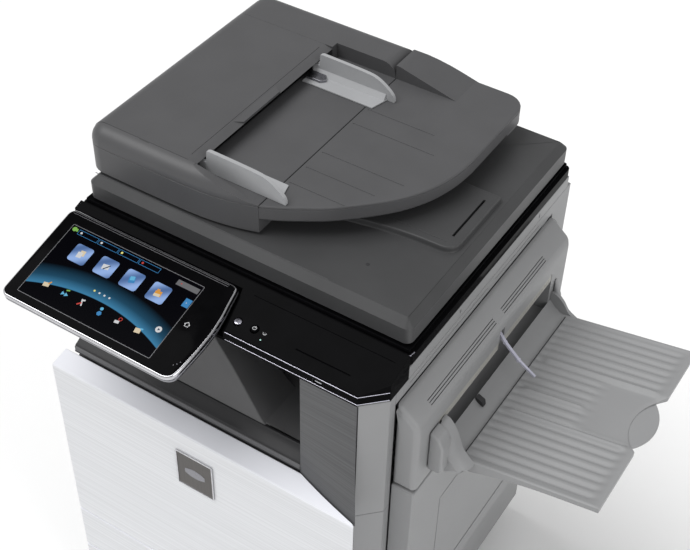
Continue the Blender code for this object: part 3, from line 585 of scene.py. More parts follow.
def wing_front():
    """The wing's swept front edge, from the seam to its right side."""
    return smooth([(SEAM_X, -0.2215), (0.04, -0.2075), (0.068, -0.19), (0.098, -0.17), (0.124, -0.147),
                   (0.152, -0.119), (0.175, -0.092), (0.194, -0.062), (0.208, -0.03), (0.218, 0.01),
                   (0.2218, 0.05)], 3)


def feeder_wing():
    """Tray for the originals, with a thin swept edge, and the strip along its rear that falls away."""
    rear = WING1.y
    plan = [*wing_front(), (0.2218, 0.15), *arc(*WING_CORNER, 6), (SEAM_X, rear)]
    steps = [(WING0.z, 0.014), (WING0.z + 0.001, 0.01), (WING0.z + 0.004, 0.004), (WING0.z + 0.009, 0.0),
             *GROOVE, (FLOOR - 0.001, 0.0003), (FLOOR, 0.0014)]
    loops = [[(max(x, SEAM_X), y, z) for x, y in shrink(plan, inset)] for z, inset in steps]
    obj = make("feeder_wing", loft(bmesh.new(), loops), FEEDER_GREY, "lid", ["feeder_tray"])
    grooves = bmesh.new()
    for y in (-0.152, -0.108, -0.064, 0.024, 0.068):
        end = 0.19 - abs(y + 0.02) * 0.55
        box((0.02, y - 0.0012, FLOOR - 0.0008), (end, y + 0.0012, FLOOR + 0.01), grooves)
    carve(obj, grooves)
    soften(obj, 0.0007, 2, 35.0)
    fall = [(SEAM_X, FLOOR - 0.01), (0.2218, 1.0455), (0.2205, 1.05), (0.212, 1.0522), *smooth(
        [(0.205, 1.054), (0.15, 1.068), (0.085, 1.0838), (0.04, 1.0945), (0.022, 1.099),
         (SEAM_X, 1.0998)], 3)]
    strip = make("feeder_rear_strip", prism(fall, "Y", HUMP, rear - 0.0002), FEEDER_GREY, "lid")
    edge = [(rear - 0.022, 1.12), (rear - 0.022, 1.1015), *arc((rear - 0.022, 1.0795), 0.022, 90, 0, 6),
            (rear + 0.01, 1.0795), (rear + 0.01, 1.12)]
    carve(strip, prism(edge, "X", -0.02, 0.3))
    outside = [*arc(*WING_CORNER, 8), (0.186, 0.26), (0.27, 0.26), (0.27, 0.199)]
    carve(strip, prism(outside, "Z", 0.9, ABOVE))
    soften(strip, 0.0045, 4, 25.0)
    floor_seam = box((SEAM_X - 0.0008, COVER0.y, FLOOR - 0.001), (SEAM_X + 0.0002, HUMP, FLOOR + 0.0002))
    make("feeder_seam", floor_seam, DARK_GREY, "lid")


def side_guide(node, body, inward):
    """Upright fence with rounded ends and a foot; a clip at its inner end carries it."""
    low, high = extent(node)
    face = low.y if inward > 0 else high.y
    base = FLOOR + GAP

    def deep(amount):
        return face + inward * amount

    fence = [(-0.1115, base), (0.0455, base), (0.045, base + 0.006), *smooth(
        [(0.043, 1.086), (0.034, 1.095), (0.018, 1.1055), (0.0, 1.111), (-0.04, 1.1128),
         (-0.092, 1.1136)], 3), (-0.0965, 1.1118), (-0.098, 1.092), (-0.1115, 1.09)]
    bm = prism(fence, "Y", face, deep(0.0064))
    obj = make(node + "_fence", bm, GUIDE_GREY, body, [node])
    foot = [(-0.1095, deep(0.001)), (0.034, deep(0.001)), (0.024, deep(0.0395)), (-0.1095, deep(0.0395))]
    carve(obj, prism(foot, "Z", base + 0.0001, base + 0.002), operation="UNION")
    web = [(deep(0.001), base), (deep(0.0145), base), (deep(0.003), base + 0.016),
           (deep(0.001), base + 0.02)]
    carve(obj, prism(web, "X", -0.1085, 0.03), operation="UNION")
    soften(obj, 0.0022, 3, 28.0)
    clip = [(-0.1095, deep(0.01)), (-0.082, deep(0.01)), (-0.074, deep(0.022)), (-0.082, deep(0.03)),
            (-0.1095, deep(0.03))]
    bm = prism(clip, "Z", base + 0.001, base + 0.0065)
    soften(make(node + "_clip", bm, SATIN, body), 0.0008)


# ---- Scanner and bezel ----
def scanner():
    """Black rim with a stepped edge and a bright ridge, over the light-grey housing."""
    plan = rounded(RIM0.x, RIM0.y, RIM1.x, RIM1.y, 0.008, 4)
    step = 0.005
    steps = [(RIM0.z, 0.001), (RIM0.z + 0.001, 0.0), (RIM1.z - 0.009, 0.0), (RIM1.z - 0.008, 0.0015),
             (RIM1.z - 0.0075, step), (RIM1.z - 0.001, step), (RIM1.z, step + 0.001)]
    bm = layers(plan, "Z", steps)
    obj = make("scanner_rim_shell", bm, GLOSS_BLACK, "root", ["scanner_rim"])
    carve(obj, box((-0.262, -0.215, 0.9), (0.262, 0.215, 1.1)))
    carve(obj, box((-0.272, -0.225, 0.9635), (0.272, 0.225, 1.1)))
    carve(obj, box((-0.29, -0.235, 0.9), (0.29, 0.235, 0.959)))
    soften(obj, 0.0006, 2, 30.0)
    y, z = RIM0.y + 0.0012, RIM1.z - 0.0076
    ridge = [(RIM0.x + 0.003, y, z), (RIM1.x - 0.006, y, z), (RIM1.x - 0.0022, y + 0.003, z),
             (RIM1.x - 0.0012, y + 0.012, z)]
    soften(make("rim_ridge", ribbon(ridge, 0.0018, 0.0014), TRIM, "root"), 0.0003, 2)
    low, high = extent("scanner_housing")
    bm = box(low, high)
    shell = make("scanner_housing_shell", bm, SIDE_GREY, "root", ["scanner_housing"])
    carve(shell, box((-0.29, -0.235, low.z + 0.003), (0.29, 0.235, 1.0)))
    holes = bmesh.new()
    for y in (-0.115, 0.148):
        prism([(y + 0.0018 * math.cos(t), 0.93 + 0.0045 * math.sin(t)) for t in
               (2 * math.pi * i / 16 for i in range(16))], "X", high.x - 0.006, high.x + 0.01, holes)
    carve(shell, holes)
    soften(shell, 0.001, 2, 35.0)


def bezel_level(y):
    """Height of the bezel's sloping top at a depth."""
    edge = 0.9395
    return edge + (y - BEZEL0.y) / (BEZEL1.y - BEZEL0.y) * (BEZEL1.z - edge)


POWER_KEY = extent("power_key")
SAVE_KEY = extent("power_save_key")
CORNER_TURN = -0.317         # where the chamfered corner meets the right side


def key_top(key):
    """Middle, top and radius of a round key."""
    low, high = key
    return (low.x + high.x) / 2, (low.y + high.y) / 2, high.z, (high.x - low.x) / 2


def bezel():
    """Black deck: sloping top with a rounded front edge, cut down at the left for the touch panel."""
    front, rear, low = BEZEL0.y, BEZEL1.y, BEZEL0.z
    slope = math.degrees(math.atan2(bezel_level(rear) - bezel_level(front), rear - front))
    edge = 0.0028
    profile = [(rear, low), (rear, BEZEL1.z),
               *arc((front + edge, bezel_level(front) - edge * 0.72), edge, 90 + slope, 180, 5),
               (front, low + 0.0042), (front + 0.001, low + 0.0038), (front + 0.001, low + 0.003),
               (front, low + 0.0026), (front, low)]
    obj = make("bezel_deck", prism(profile, "X", BEZEL0.x, BEZEL1.x), GLOSS_BLACK, "root",
               ["operation_bezel"])
    corner = [(CORNER0.x - 0.001, -0.4), (0.35, -0.4), (0.35, CORNER_TURN), (BEZEL1.x, CORNER_TURN),
              (CORNER0.x - 0.001, front)]
    carve(obj, prism(corner, "Z", 0.9, 1.0))
    seat = [(-0.31, -0.36), (0.0375, -0.36), (0.0362, -0.3458), (0.0318, -0.3215), (0.0272, -0.2968),
            (0.024, -0.2825), (-0.31, -0.2825)]
    carve(obj, prism(seat, "Z", 0.924, 1.0))
    cuts = bmesh.new()
    box((0.195, -0.36, 0.9225), (0.213, -0.345, 0.9325), cuts)
    box((0.151, -0.3306, bezel_level(-0.33) - 0.001), (0.244, -0.3286, 1.0), cuts)
    box((0.046, -0.285, bezel_level(-0.285) - 0.0008), (0.29, -0.2842, 1.0), cuts)
    for key_low, key_high in (POWER_KEY, SAVE_KEY):
        x, y, _ = (key_low + key_high) / 2
        rod((x, y, key_high.z), "Z", (key_high.x - key_low.x) / 2 + 0.0007, 0.02, 32, cuts)
    carve(obj, cuts)
    soften(obj, 0.0006, 2, 30.0)
    chamfer_path = [(0.04, front + 0.0003, 0.9372), (CORNER0.x - 0.001, front + 0.0003, 0.9372),
                    (BEZEL1.x - 0.0008, -0.3183, 0.9372)]
    low_path = [(x, y, low + 0.004) for x, y, _ in chamfer_path]
    for name, path in (("bezel_edge_line", chamfer_path), ("bezel_foot_line", low_path)):
        soften(make(name, ribbon(path, 0.0016, 0.0012), TRIM, "root"), 0.0002, 2)
    # Painted highlight: a mid-grey strip along the foot of the black bezel's front, where its lower edge
    # catches the light.
    strip = ribbon([(x, y + 0.0004, low + 0.0014) for x, y, _ in chamfer_path], 0.0014, 0.0022)
    soften(make("bezel_foot_highlight", strip, BAY_GREY, "root"), 0.0003, 2)
    frame_outer = rounded(0.1935, 0.9212, 0.2145, 0.9338, 0.0012, 2)
    frame_inner = rounded(0.1952, 0.9227, 0.2128, 0.9323, 0.0005, 2)
    upright = Matrix.Translation((0.0, front, 0.0)) @ Matrix.Rotation(math.pi / 2, 4, "X")
    port = ring(frame_outer, frame_inner, -0.001, 0.0)
    soften(make("port_frame", port, DARK_GREY, "root", place=upright), 0.0002, 2)
    tongue = box((0.1985, front + 0.001, 0.9268), (0.2095, -0.3462, 0.9286))
    soften(make("port_tongue", tongue, LOOKS["steel"], "root"), 0.0003, 2)
    keys()


def keys():
    """Round silver key with a crescent, small black key with a ring, and a status light with its mark."""
    x, y, z, radius = key_top(POWER_KEY)
    steps = [(POWER_KEY[0].z, 0.0), (z - 0.0014, 0.0), (z - 0.0006, 0.0006), (z - 0.0003, 0.0018),
             (z - 0.0001, 0.0034)]
    cap = layers(circle((x, y), radius, 24), "Z", steps)
    soften(make("power_key_cap", cap, TRIM, "power_push", ["power_key"]), 0.0)
    moon = [*arc((x, y), 0.0026, 60, 300, 10), *arc((x + 0.0013, y), 0.0023, 282, 78, 8)]
    moon = prism(moon, "Z", z - 0.0003, z - 0.00002)
    make("power_key_crescent", moon, DARK_GREY, "power_push")
    x, y, z, radius = key_top(SAVE_KEY)
    steps = [(SAVE_KEY[0].z, 0.0), (z - 0.0012, 0.0), (z - 0.0005, 0.0007), (z - 0.0003, 0.002)]
    cap = layers(circle((x, y), radius, 24), "Z", steps)
    soften(make("save_key_cap", cap, GLOSS_BLACK, "save_push", ["power_save_key"]), 0.0)
    # The save key's ring mark glows: painted light on print, which is no lamp.
    outer, inner = (arc((x, y), r, 115, 425, 20) for r in (0.0034, 0.0026))
    mark = prism([*outer, *inner[::-1]], "Z", z - 0.0004, z - 0.00015)
    box((x - 0.0005, y + 0.0008, z - 0.0004), (x + 0.0005, y + 0.0042, z - 0.00015), mark)
    make("save_key_mark", mark, GLOWING_WHITE, "save_push")
    x, y = 0.0965, -0.329
    z = bezel_level(y)
    # The clock mark glows too: painted light on print.
    clock = ring(circle((x, y), 0.003, 24), circle((x, y), 0.0025, 24), z - 0.0006, z + 0.0003)
    box((x - 0.0003, y, z - 0.0006), (x + 0.0003, y + 0.0018, z + 0.0003), clock)
    make("clock_mark", clock, GLOWING_WHITE, "root")
    y -= 0.0115
    light = rod((x, y, bezel_level(y)), "Z", 0.0012, 0.0008, 16)
    make("status_light", light, lit("status_green", (0.55, 0.95, 0.85), 0.9), "root")


# ---- Touch panel, in its own plane: X across, Y up along the panel, Z out of it ----
PANEL_TILT = math.radians(14.0)
PANEL_FRONT = extent("control_panel")[0].y
PANEL_LEVEL = 0.9278
PANEL_LENGTH = 0.181
PANEL_THICK = 0.02
PANEL_PLACE = Matrix.Translation((0.0, PANEL_FRONT, PANEL_LEVEL)) @ Matrix.Rotation(PANEL_TILT, 4, "X")
SCREEN_X, SCREEN_Y = -0.274, 0.0175              # lower left corner of the glass
SCREEN_W, SCREEN_H = 0.252, 0.137
HOME_KEY = (-0.006, 0.09)


def on_screen(u, v):
    """A point of the glass at shares of its width and height."""
    return SCREEN_X + u * SCREEN_W, SCREEN_Y + v * SCREEN_H


def panel_outline():
    left, back, corner = -0.299, PANEL_LENGTH, 0.014
    sweep = [(0.004, 0.0), (0.014, 0.0006), (0.0235, 0.005), (0.029, 0.014), (0.0322, 0.0375),
             (0.0348, 0.066), (0.0354, 0.096), (0.033, 0.125), (0.0285, 0.15), (0.0245, back - 0.007),
             (0.02, back - 0.0016), (0.0125, back)]
    return [*arc((left + corner, corner), corner, 180, 270, 6), *smooth(sweep, 3),
            *arc((left + corner, back - corner), corner, 90, 180, 6)]


def panel_piece(name, bm, look, replaces=(), edge=None, segments=2):
    obj = make(name, bm, look, "panel", replaces, PANEL_PLACE)
    return obj if edge is None else soften(obj, edge, segments)


def touch_panel():
    """Shell in a band and a chrome edge, the glass in its border, two arms under it and a neck."""
    plan = panel_outline()
    rim = 0.003
    under = layers(plan, "Z", [(-PANEL_THICK, 0.0045), (-PANEL_THICK + 0.003, 0.002), (-0.0135, 0.0012)])
    lug = [(0.05, -PANEL_THICK + 0.001), (0.071, -0.041), (0.084, -0.041), (0.105, -PANEL_THICK + 0.001)]
    for x in (-0.214, -0.046):
        prism(lug, "X", x - 0.01, x + 0.01, under)
    panel_piece("panel_underside", under, DARK_GREY, replaces=["control_panel"], edge=0.0006)
    band = [(-0.014, 0.0006), (-0.013, 0.0), (-0.0098, 0.0), (-0.009, 0.0006)]
    panel_piece("panel_band", layers(plan, "Z", band), SATIN, edge=0.0003)
    panel_piece("panel_groove", layers(plan, "Z", [(-0.0092, 0.0016), (-0.0078, 0.0016)]), DARK_GREY)
    chrome = [(-0.008, 0.0006), (-0.007, 0.0), (-0.0042, 0.0), (-0.0026, 0.0003), (-0.0012, 0.001),
              (-0.0004, 0.002), (-0.0001, rim)]
    panel_piece("panel_chrome", layers(plan, "Z", chrome), CHROME, edge=0.0)
    bm = layers(shrink(plan, rim), "Z", [(-0.0012, 0.0), (0.0002, 0.0), (0.0006, 0.0005)])
    face = panel_piece("panel_face", bm, GLOSS_BLACK, edge=0.0002)
    carve(face, rod((*HOME_KEY, 0.0008), "Z", 0.0105, 0.001, 40), PANEL_PLACE)
    ribs = bmesh.new()
    for y in (PANEL_LENGTH - 0.0082, PANEL_LENGTH - 0.005):
        box((-0.29, y - 0.0005, 0.0), (0.01, y + 0.0005, 0.0011), ribs)
    panel_piece("panel_back_ribs", ribs, RIB_GREY, edge=0.0003)
    border = 0.0016
    outer = rounded(SCREEN_X - border, SCREEN_Y - border, SCREEN_X + SCREEN_W + border,
                    SCREEN_Y + SCREEN_H + border, 0.002, 3)
    glass = shrink(outer, 0.0013)
    panel_piece("screen_border", ring(outer, glass, 0.0004, 0.0009), RIB_GREY, edge=0.0002)
    picture = picture_look((SCREEN_X + SCREEN_W / 2, SCREEN_Y - 0.288), 0.33, 0.038)
    panel_piece("display_glass", prism(glass, "Z", -0.0004, 0.0007), picture, ["touch_screen"])
    screen_picture()
    home_mark()
    dots = bmesh.new()
    for x, y in ((0.0235, 0.033), (0.0205, 0.0285), (0.017, 0.0245)):
        rod((x, y, 0.0006), "Z", 0.0005, 0.0003, 10, dots)
    panel_piece("panel_dots", dots, SATIN)
    neck = smooth([(-0.12, 0.03), (-0.06, 0.022), (-0.01, 0.02), (0.014, 0.028), (0.024, 0.05),
                   (0.026, 0.086)], 3)
    steps = [(-0.042, 0.016), (-0.034, 0.006), (-PANEL_THICK + 0.0005, 0.0)]
    panel_piece("panel_neck", layers([*neck, (-0.12, 0.086)], "Z", steps), DARK_GREY, edge=0.0015)


SCREEN_Z = 0.00065           # underside of the picture's parts
LAYER = 0.00012              # how thick they are, and how far they lie over each other
# White that glows: true for the display's picture; on the printed marks of the bezel and the panel the glow
# is painted light.
GLOWING_WHITE = lit("print_white", (0.85, 0.86, 0.88), 0.75)
BLUE, ORANGE, GREEN, RED, CYAN, CREAM, GREY, YELLOW, DARK = (
    lit("print_" + name, colour, strength) for name, colour, strength in (
        ("blue", (0.05, 0.28, 0.62), 0.8), ("orange", (0.85, 0.38, 0.05), 0.8),
        ("green", (0.25, 0.55, 0.1), 0.8), ("red", (0.65, 0.06, 0.05), 0.8),
        ("cyan", (0.15, 0.55, 0.85), 0.8), ("cream", (0.85, 0.72, 0.5), 0.8),
        ("grey", (0.17, 0.17, 0.18), 0.8), ("yellow", (0.9, 0.85, 0.25), 0.9),
        ("dark", (0.02, 0.05, 0.1), 0.8)))


def glyph(name, look, level, *outlines):
    """A flat shape of the display's picture. A higher level lies over a lower one."""
    low = SCREEN_Z + level * LAYER
    bm = bmesh.new()
    for outline in outlines:
        prism(outline, "Z", low, low + LAYER, bm)
    panel_piece("screen_" + name, bm, look)


def card(u, v, width, height, turn=0.0):
    """A rectangle at a place of the screen, turned by an angle in degrees."""
    x, y = on_screen(u, v)
    corners = [(a * width / 2, b * height / 2) for a, b in ((-1, -1), (1, -1), (1, 1), (-1, 1))]
    c, s = math.cos(math.radians(turn)), math.sin(math.radians(turn))
    return [(x + a * c - b * s, y + a * s + b * c) for a, b in corners]


def disc(u, v, radius, steps=20):
    return circle(on_screen(u, v), radius, steps)


def screen_picture():
    """Generic picture with four large keys, tabs, dots and a row of small pictograms, and no lettering."""
    key_look = lit_key()
    half, row = 0.0325 / 2, 0.705
    for i, u in enumerate((0.18, 0.38, 0.58, 0.78)):
        x, y = on_screen(u, row)
        glyph(f"key_{i}", key_look, 0, rounded(x - half, y - half, x + half, y + half, 0.0045, 4))
    glyph("copy_back", CREAM, 1, card(0.187, row + 0.02, 0.0085, 0.01, 8))
    glyph("copy_front", GLOWING_WHITE, 2, card(0.175, row - 0.01, 0.0085, 0.0105, 8))
    glyph("mail_sheet", GLOWING_WHITE, 1, card(0.378, row, 0.012, 0.009, 10))
    glyph("mail_pen", DARK, 2, card(0.386, row, 0.0018, 0.013, -38))
    glyph("block_side", BLUE, 1, card(0.58, row, 0.0105, 0.0105, 20))
    glyph("block_top", CYAN, 2, card(0.577, row + 0.02, 0.0075, 0.007, 20))
    glyph("folder", ORANGE, 1, card(0.78, row - 0.01, 0.0115, 0.0095, 8),
          card(0.77, row + 0.035, 0.005, 0.003, 8))
    glyph("folder_front", CREAM, 2, card(0.778, row - 0.03, 0.0105, 0.005, 8))
    glyph("start_mark", GREEN, 1, disc(0.025, 0.955, 0.004), card(0.045, 0.955, 0.003, 0.005, 20))
    tabs = (0.135, GLOWING_WHITE), (0.295, GLOWING_WHITE), (0.455, YELLOW), (0.615, RED)
    for i, (u, look) in enumerate(tabs):
        outer, inner = card(u, 0.945, 0.0385, 0.009), card(u, 0.945, 0.0373, 0.0078)
        panel_piece(f"screen_tab_{i}", ring(outer, inner, SCREEN_Z, SCREEN_Z + LAYER), BLUE)
        glyph(f"tab_mark_{i}", look, 1, disc(u - 0.052, 0.945, 0.002, 12))
    glyph("corner_button", GREY, 0, card(0.912, 0.925, 0.04, 0.0095))
    glyph("corner_button_mark", RED, 1, card(0.865, 0.925, 0.002, 0.002, 45))
    glyph("side_tab", BLUE, 0, card(0.975, 0.745, 0.0115, 0.015))
    glyph("side_tab_mark", GLOWING_WHITE, 1, disc(0.972, 0.745, 0.0011, 3))
    for i in range(4):
        glyph(f"dot_{i}", GLOWING_WHITE if i else YELLOW, 1, disc(0.425 + i * 0.038, 0.395, 0.0017, 14))
    glyph("next_disc", GLOWING_WHITE, 1, disc(0.935, 0.33, 0.0052, 24))
    glyph("next_arrow", DARK, 2, disc(0.935, 0.33, 0.0026, 3))
    row = 0.205
    glyph("manual", CREAM, 1, card(0.13, row, 0.0105, 0.0072, 12))
    glyph("manual_pen", ORANGE, 2, card(0.146, row + 0.035, 0.0022, 0.006, -30))
    glyph("view", CYAN, 1, disc(0.262, row - 0.005, 0.004, 3), disc(0.287, row - 0.005, 0.004, 3))
    glyph("view_bar", GREEN, 2, card(0.282, row + 0.052, 0.0058, 0.0024, 20))
    glyph("tool_white", GLOWING_WHITE, 1, card(0.408, row, 0.0022, 0.012, 25),
          card(0.41, row + 0.03, 0.006, 0.0026, 25))
    glyph("tool_red", RED, 2, card(0.398, row - 0.025, 0.0024, 0.008, -45))
    glyph("person_head", CYAN, 1, disc(0.546, row + 0.04, 0.0028, 14))
    glyph("person_body", BLUE, 2, disc(0.55, row - 0.022, 0.0042, 6))
    glyph("light_base", GLOWING_WHITE, 1, card(0.68, row - 0.015, 0.0078, 0.0048, 10))
    outer, inner = (disc(0.692, row + 0.03, radius, 16) for radius in (0.0032, 0.0022))
    bm = ring(outer, inner, SCREEN_Z + 0.0002, SCREEN_Z + 0.0003)
    panel_piece("screen_light_ring", bm, RED)
    glyph("notes", CREAM, 1, card(0.828, row + 0.005, 0.0098, 0.0082, 10))
    glyph("notes_flag", CYAN, 2, card(0.846, row + 0.04, 0.0048, 0.0026, 10))


def home_mark():
    """A roof and three walls, on the touch symbol at the panel's right; the mark glows, painted light on
    print.
    """
    x, y = HOME_KEY
    roof = [(x - 0.0052, y - 0.0004), (x, y + 0.0046), (x + 0.0052, y - 0.0004), (x + 0.0044, y - 0.001),
            (x, y + 0.0032), (x - 0.0044, y - 0.001)]
    bm = prism(roof, "Z", 0.0002, 0.0005)
    for left, right, top in ((-0.0034, -0.0026, 0.0002), (0.0026, 0.0034, 0.0002), (-0.003, 0.003, -0.0034)):
        box((x + left, y - 0.0042, 0.0002), (x + right, y + top, 0.0005), bm)
    panel_piece("home_mark", bm, GLOWING_WHITE)


# ---- Front ----
def corner_post():
    """Chamfered post at the right front corner, in two lengths with a seam between them."""
    inner, outer = CORNER0.x, CORNER1.x
    seam = 0.66
    plan = [(inner, CORNER1.y), (inner, CORNER0.y), (outer, CORNER_TURN), (outer, CORNER1.y)]
    bm = prism(plan, "Z", CORNER0.z, seam - 0.0004)
    prism(plan, "Z", seam + 0.0004, CORNER1.z, bm)
    prism(shrink(plan, 0.0015), "Z", seam - 0.001, seam + 0.001, bm)
    soften(make("corner_post", bm, SIDE_GREY, "root", ["corner_cover"]), 0.0016, 3)


def bay():
    """Inner exit tray: sloping floor, and a leaning fascia with a filleted right end."""
    left, right, face, rear = BAY0.x, BAY1.x, BAY0.y, BAY1.y
    sill = BAY0.z
    floor = [(left, sill), (right, sill), (right, sill + 0.02), (right - 0.06, sill + 0.026),
             (left, sill + 0.105)]
    bm = prism(floor, "Y", face, rear)
    obj = make("bay_floor", bm, BAY_GREY, "root", ["inner_exit_tray"])
    slope = smooth([(x, sill + rise) for x, rise in (
        (0.166, 0.022), (0.15, 0.019), (0.128, 0.0182), (0.108, 0.0205), (0.086, 0.031), (0.061, 0.052),
        (0.035, 0.0745), (0.009, 0.0965), (-0.015, 0.115), (-0.045, 0.138), (-0.08, 0.162),
        (-0.115, 0.18), (-0.15, 0.188))], 4)
    rise = [(left, sill + 0.012), (right, sill + 0.012), *slope, (left, BAY1.z)]
    fascia = make("bay_fascia", prism(rise, "Y", face + 0.015, -0.235), BAY_GREY, "root")
    for piece, back in ((obj, 0.003), (fascia, 0.0)):
        lean = [(face - 0.01, sill + 0.016 - back), (face + 0.02 + back, sill + 0.016 - back),
                (-0.262 + back, 0.902), (-0.262 + back, 1.0), (face - 0.01, 1.0)]
        carve(piece, prism(lean, "X", -0.3, right + 0.01))
    soften(obj, 0.0012, 2, 30.0)
    soften(fascia, 0.004, 4, 35.0)
    curve = [(face + 0.0006, sill + 0.006), (face + 0.0006, sill + 0.011), *smooth(
        [(face + 0.003, sill + 0.015), (face + 0.01, sill + 0.0185), (face + 0.0185, sill + 0.024),
         (face + 0.024, sill + 0.03)], 3), (face + 0.03, sill + 0.029), (face + 0.03, sill + 0.006)]
    bm = prism(curve, "X", left + GAP, right - GAP)
    soften(make("bay_sill", bm, DARK_GREY, "root"), 0.0)
    lip = box((left, face - 0.0003, sill + 0.0005), (right, face + 0.0006, sill + 0.0035))
    soften(make("bay_front_lip", lip, DARK_GREY, "root"), 0.0003, 2)


def badge():
    """Plate without lettering on the front cover, with a plain lens shape, in a bright frame."""
    low, high = extent("badge_plate")
    width = 0.0022
    outer = rounded(low.x, low.z, high.x, high.z, width, 4)
    depth = high.y - low.y
    place = Matrix.Translation((0.0, high.y, 0.0)) @ Matrix.Rotation(math.pi / 2, 4, "X")
    plate = layers(outer, "Z", [(0.0, 0.0008), (depth - 0.001, 0.0008)])
    soften(make("badge_blank", plate, BADGE, "door", ["badge_plate"], place), 0.0002, 2)
    edge = ring(outer, shrink(outer, width), 0.0002, depth)
    soften(make("badge_frame", edge, CHROME, "door", place=place), 0.0005, 3)
    x, z = (low.x + high.x) / 2, (low.z + high.z) / 2
    lens = [*arc((x, z - 0.03), 0.04, 60, 120, 8), *arc((x, z + 0.03), 0.04, 240, 300, 8)]
    lens = prism(lens, "Z", depth - 0.0012, depth - 0.0006)
    soften(make("badge_lens", lens, SATIN, "door", place=place), 0.0002, 2)


# ---- Right side ----
def right_cover_shell():
    """Cover round the side door, with two long grooves along its top strip."""
    low, high = extent("right_cover")
    column, foot, over = 0.205, 0.305, UNIT1.z + 0.003
    outline = [(low.y, low.z), (high.y, low.z), (high.y, high.z), (low.y, high.z), (low.y, over),
               (column, over), (column, foot), (low.y, foot)]
    bm = prism(outline, "X", low.x, high.x)
    obj = make("right_cover_shell", bm, SIDE_GREY, "root", ["right_cover"])
    grooves = bmesh.new()
    for start, end in ((-0.262, -0.024), (0.0, 0.152)):
        box((high.x - 0.003, start, 0.905), (high.x + 0.01, end, 0.9066), grooves)
    carve(obj, grooves)
    soften(obj, 0.0008, 2, 35.0)


def louvres(bm, axis, face, start, low, count, length):
    """Rows of narrow vents cut into an upright cover that faces +Y or -X."""
    pitch = 0.0105
    for i in range(count):
        z = low + i * pitch
        if axis == "Y":
            box((start, face - 0.002, z), (start + length, face + 0.01, z + pitch * 0.35), bm)
        else:
            box((face - 0.01, start, z), (face + 0.002, start + length, z + pitch * 0.35), bm)


def plain_covers():
    """Rear and left covers: vents, panel seams and sunk screws, and the hole for the mains inlet."""
    low, high = extent("rear_cover")
    face = high.y
    rear = make("rear_cover_shell", box(low, high), SIDE_GREY, "root", ["rear_cover"])
    carve(rear, box((-0.24, low.y - 0.01, 0.11), (-0.19, face + 0.01, 0.15)))
    cuts = bmesh.new()
    louvres(cuts, "Y", face, -0.235, 0.64, 14, 0.15)
    louvres(cuts, "Y", face, 0.06, 0.64, 14, 0.15)
    louvres(cuts, "Y", face, 0.08, 0.18, 8, 0.12)
    for z in (0.33, 0.8):
        box((low.x - 0.01, face - 0.0012, z), (high.x + 0.01, face + 0.01, z + 0.0012), cuts)
    carve(rear, cuts)
    soften(rear, 0.0012, 2, 35.0)
    low, high = extent("left_cover")
    left = make("left_cover_shell", box(low, high), SIDE_GREY, "root", ["left_cover"])
    cuts = bmesh.new()
    louvres(cuts, "X", low.x, -0.02, 0.56, 10, 0.16)
    box((low.x - 0.01, low.y - 0.01, 0.305), (low.x + 0.0012, high.y + 0.01, 0.3062), cuts)
    carve(left, cuts)
    soften(left, 0.0012, 2, 35.0)
    screws, seats = bmesh.new(), bmesh.new()
    for x in (-0.262, 0.262):
        for z in (0.1, 0.345, 0.78, 0.875):
            rod((x, face, z), "Y", 0.0045, 0.002, 20, seats)
            rod((x, face - 0.0009, z), "Y", 0.0038, 0.0014, 20, screws)
    carve(rear, seats)
    make("cover_screws", screws, SATIN, "root")


MOUTH_FRONT, MOUTH_REAR, MOUTH_LOW, MOUTH_TOP = -0.238, 0.14, 0.745, 0.828
LEVER_FRONT, LEVER_REAR = -0.0485, -0.0315      # gap of the comb strip, for the sensor lever


def unit_slope(x):
    """Height of the exit unit's sloping top."""
    return UNIT1.z - (x - (UNIT0.x + 0.006)) * (0.026 / 0.018)


def exit_unit_shell():
    """Exit unit: rounded ends and shoulder, vents in its sloping top, and the mouth with a comb strip."""
    inner, outer, low, top = UNIT0.x, UNIT1.x, UNIT0.z, UNIT1.z
    turn = 0.866
    profile = [(inner, low), (outer - 0.004, low), (outer, low + 0.004), (outer, turn - 0.022), *smooth(
        [(outer - 0.0004, turn - 0.014), (outer - 0.0022, turn - 0.006), (outer - 0.006, turn + 0.0005)], 3),
        (inner + 0.008, top - 0.0026), (inner + 0.004, top - 0.0003), (inner, top)]
    ends = 0.01
    rounding = [(ends * (1 - math.cos(t)), ends * (1 - math.sin(t)))
                for t in (math.pi / 2 * i / 5 for i in range(6))]
    steps = [(UNIT0.y + y, inset) for y, inset in rounding]
    steps += [(UNIT1.y - y, inset) for y, inset in reversed(rounding)]
    loops = [[(max(x, inner), y, z) for x, z in shrink(profile, inset)] for y, inset in steps]
    bm = loft(bmesh.new(), loops)
    obj = make("exit_unit_shell", bm, SIDE_GREY, "root", ["right_exit_unit"])
    carve(obj, box((0.318, MOUTH_FRONT, MOUTH_LOW), (0.4, MOUTH_REAR, MOUTH_TOP)))
    carve(obj, box((0.29, -0.205, 0.764), (0.33, 0.13, 0.812)))
    carve(obj, box((0.326, -0.048, 0.822), (0.36, -0.032, 0.85)))
    vents = bmesh.new()
    for start, end in ((-0.252, -0.05), (-0.024, 0.122)):
        for x in (0.3292, 0.3326, 0.336):
            box((x, start, unit_slope(x) - 0.0045), (x + 0.0012, end, 1.0), vents)
    carve(obj, vents)
    soften(obj, 0.0008, 2, 32.0)
    strip = bmesh.new()
    for start, end in ((MOUTH_FRONT + 0.001, LEVER_FRONT), (LEVER_REAR, MOUTH_REAR - 0.001)):
        box((0.3425, start, MOUTH_TOP - 0.016), (0.3447, end, MOUTH_TOP + 0.0005), strip)
    comb = make("mouth_strip", strip, STRIP_GREY, "root")
    teeth = bmesh.new()
    for i in range(58):
        y = MOUTH_FRONT + 0.005 + i * 0.0063
        if not -0.052 < y < -0.028:
            width = 0.003 if i % 6 else 0.001
            box((0.3441, y, MOUTH_TOP - 0.012), (0.3453, y + width, MOUTH_TOP - 0.005), teeth)
    carve(comb, teeth)
    soften(comb, 0.0003, 1)


